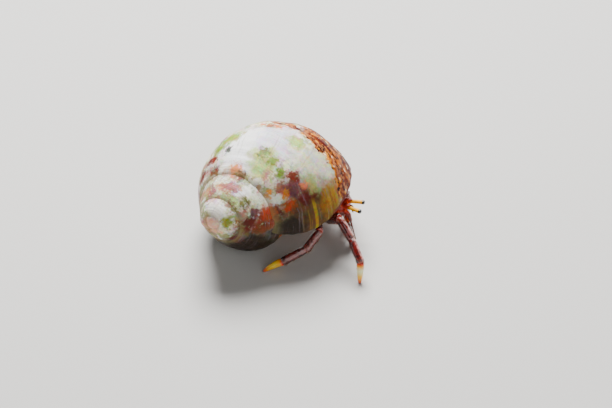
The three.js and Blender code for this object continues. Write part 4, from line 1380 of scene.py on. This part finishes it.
def build_stage(settings):
    """A pale floor, soft lights from above and behind, and the camera."""
    material = blank("PaleFloor")  # matt paper
    surface(material, {"Base Color": tuple(settings.floor_colour) + (1.0,), "Roughness": 0.9})
    mesh = bpy.data.meshes.new("floor")
    half = 1.5  # metres
    corners = [(-half, -half, 0), (half, -half, 0), (half, half, 0), (-half, half, 0)]
    mesh.from_pydata(corners, [], [(0, 1, 2, 3)])
    mesh.materials.append(material)
    floor = bpy.data.objects.new("floor", mesh)
    bpy.context.scene.collection.objects.link(floor)

    for name, place, size, power in LIGHTS:
        data = bpy.data.lights.new(name, "AREA")
        data.shape, data.size, data.energy = "DISK", size, power
        light = bpy.data.objects.new(name, data)
        light.location = place
        light.rotation_euler = (LIT_PLACE - Vector(place)).to_track_quat("-Z", "Y").to_euler()
        bpy.context.scene.collection.objects.link(light)
    world = bpy.data.worlds.new("studio")
    bpy.context.scene.world = world
    world.use_nodes = True
    sky = world.node_tree.nodes["Background"]
    sky.inputs["Color"].default_value = srgb("e8ecf2")
    sky.inputs["Strength"].default_value = SKY_STRENGTH

    back = Vector(heading_way(*CAMERA_WAY))
    camera = bpy.data.objects.new("camera", bpy.data.cameras.new("camera"))
    camera.data.lens, camera.data.sensor_width = 200, 36
    camera.data.clip_start, camera.data.clip_end = 0.01, 10
    distance = VIEW_WIDTH * camera.data.lens / camera.data.sensor_width
    camera.location = (Vector(CAMERA_TARGET) + back * distance) * MM
    camera.rotation_euler = (-back).to_track_quat("-Z", "Y").to_euler()
    bpy.context.scene.collection.objects.link(camera)
    bpy.context.scene.camera = camera


# ---- Add-on ----


class HermitShellSettings(bpy.types.PropertyGroup):
    """Settings of the shell"""
    suture_fill: FloatProperty(name="Suture fill", default=4.4 * MM, unit="LENGTH",
                               description="Width of the fillet between whorls at the lip")
    relief: FloatProperty(name="Relief", default=1.0, subtype="FACTOR",
                          description="Depth of cords, lumps and growth marks")
    lip_round: FloatProperty(name="Lip", default=0.2 * MM, unit="LENGTH",
                             description="Roundness of the lip's edge")


class HermitCrabSettings(bpy.types.PropertyGroup):
    """Colours of the crab and the floor"""
    leg_colour: FloatVectorProperty(name="Legs", default=srgb("6e0d06")[:3], subtype="COLOR",
                                    description="Colour of the walking legs")
    stalk_colour: FloatVectorProperty(name="Eyestalks", default=srgb("f0a800")[:3],
                                      subtype="COLOR", description="Colour of the eyestalks")
    floor_colour: FloatVectorProperty(name="Floor", default=srgb("cfcdc9")[:3], subtype="COLOR",
                                      description="Colour of the floor")


class HERMIT_OT_shell(bpy.types.Operator):
    """Build the turban shell"""
    bl_idname = "hermit.shell"
    bl_label = "Shell"

    def execute(self, context):
        build_shell(context.scene.hermit_shell)
        return {"FINISHED"}


class HERMIT_OT_body(bpy.types.Operator):
    """Build the shield, the rear carapace and the thorax"""
    bl_idname = "hermit.body"
    bl_label = "Body"

    def execute(self, context):
        build_body()
        return {"FINISHED"}


class HERMIT_OT_legs(bpy.types.Operator):
    """Build the four walking legs"""
    bl_idname = "hermit.legs"
    bl_label = "Walking legs"

    def execute(self, context):
        build_legs(context.scene.hermit_crab)
        return {"FINISHED"}


class HERMIT_OT_claws(bpy.types.Operator):
    """Build both chelipeds"""
    bl_idname = "hermit.claws"
    bl_label = "Chelipeds"

    def execute(self, context):
        build_claws(context.scene.hermit_crab)
        return {"FINISHED"}


class HERMIT_OT_eyes(bpy.types.Operator):
    """Build the eyestalks, corneas and eye scales"""
    bl_idname = "hermit.eyes"
    bl_label = "Eyes"

    def execute(self, context):
        build_eyes(context.scene.hermit_crab)
        return {"FINISHED"}


class HERMIT_OT_feelers(bpy.types.Operator):
    """Build the antennae, antennules and third maxillipeds"""
    bl_idname = "hermit.feelers"
    bl_label = "Feelers"

    def execute(self, context):
        build_feelers()
        return {"FINISHED"}


class HERMIT_OT_hind_legs(bpy.types.Operator):
    """Build the two small pairs of hind legs"""
    bl_idname = "hermit.hind_legs"
    bl_label = "Hind legs"

    def execute(self, context):
        build_hind_legs()
        return {"FINISHED"}


class HERMIT_OT_abdomen(bpy.types.Operator):
    """Build the abdomen and the tail fan"""
    bl_idname = "hermit.abdomen"
    bl_label = "Abdomen"

    def execute(self, context):
        build_abdomen()
        return {"FINISHED"}


class HERMIT_OT_stage(bpy.types.Operator):
    """Set the floor, the lights and the camera"""
    bl_idname = "hermit.stage"
    bl_label = "Stage"

    def execute(self, context):
        build_stage(context.scene.hermit_crab)
        return {"FINISHED"}


OPERATORS = [HERMIT_OT_shell, HERMIT_OT_body, HERMIT_OT_legs, HERMIT_OT_claws, HERMIT_OT_eyes,
             HERMIT_OT_feelers, HERMIT_OT_hind_legs, HERMIT_OT_abdomen, HERMIT_OT_stage]


class HERMIT_PT_panel(bpy.types.Panel):
    """Lists the pieces and their settings"""
    bl_label = "Hermit Crab"
    bl_idname = "HERMIT_PT_panel"
    bl_space_type = "VIEW_3D"
    bl_region_type = "UI"
    bl_category = "Hermit Crab"

    def draw(self, context):
        for settings in (context.scene.hermit_shell, context.scene.hermit_crab):
            for key in settings.bl_rna.properties.keys()[2:]:
                self.layout.prop(settings, key)
        for operator in OPERATORS:
            self.layout.operator(operator.bl_idname)


CLASSES = [HermitShellSettings, HermitCrabSettings, *OPERATORS, HERMIT_PT_panel]


def register():
    for item in CLASSES:
        bpy.utils.register_class(item)
    bpy.types.Scene.hermit_shell = PointerProperty(type=HermitShellSettings)
    bpy.types.Scene.hermit_crab = PointerProperty(type=HermitCrabSettings)


def unregister():
    del bpy.types.Scene.hermit_crab
    del bpy.types.Scene.hermit_shell
    for item in reversed(CLASSES):
        bpy.utils.unregister_class(item)


def main():
    register()
    bpy.ops.hermit.shell()
    bpy.ops.hermit.body()
    bpy.ops.hermit.legs()
    bpy.ops.hermit.claws()
    bpy.ops.hermit.eyes()
    bpy.ops.hermit.feelers()
    bpy.ops.hermit.hind_legs()
    bpy.ops.hermit.abdomen()
    bpy.ops.hermit.stage()


if __name__ == "__main__":
    main()
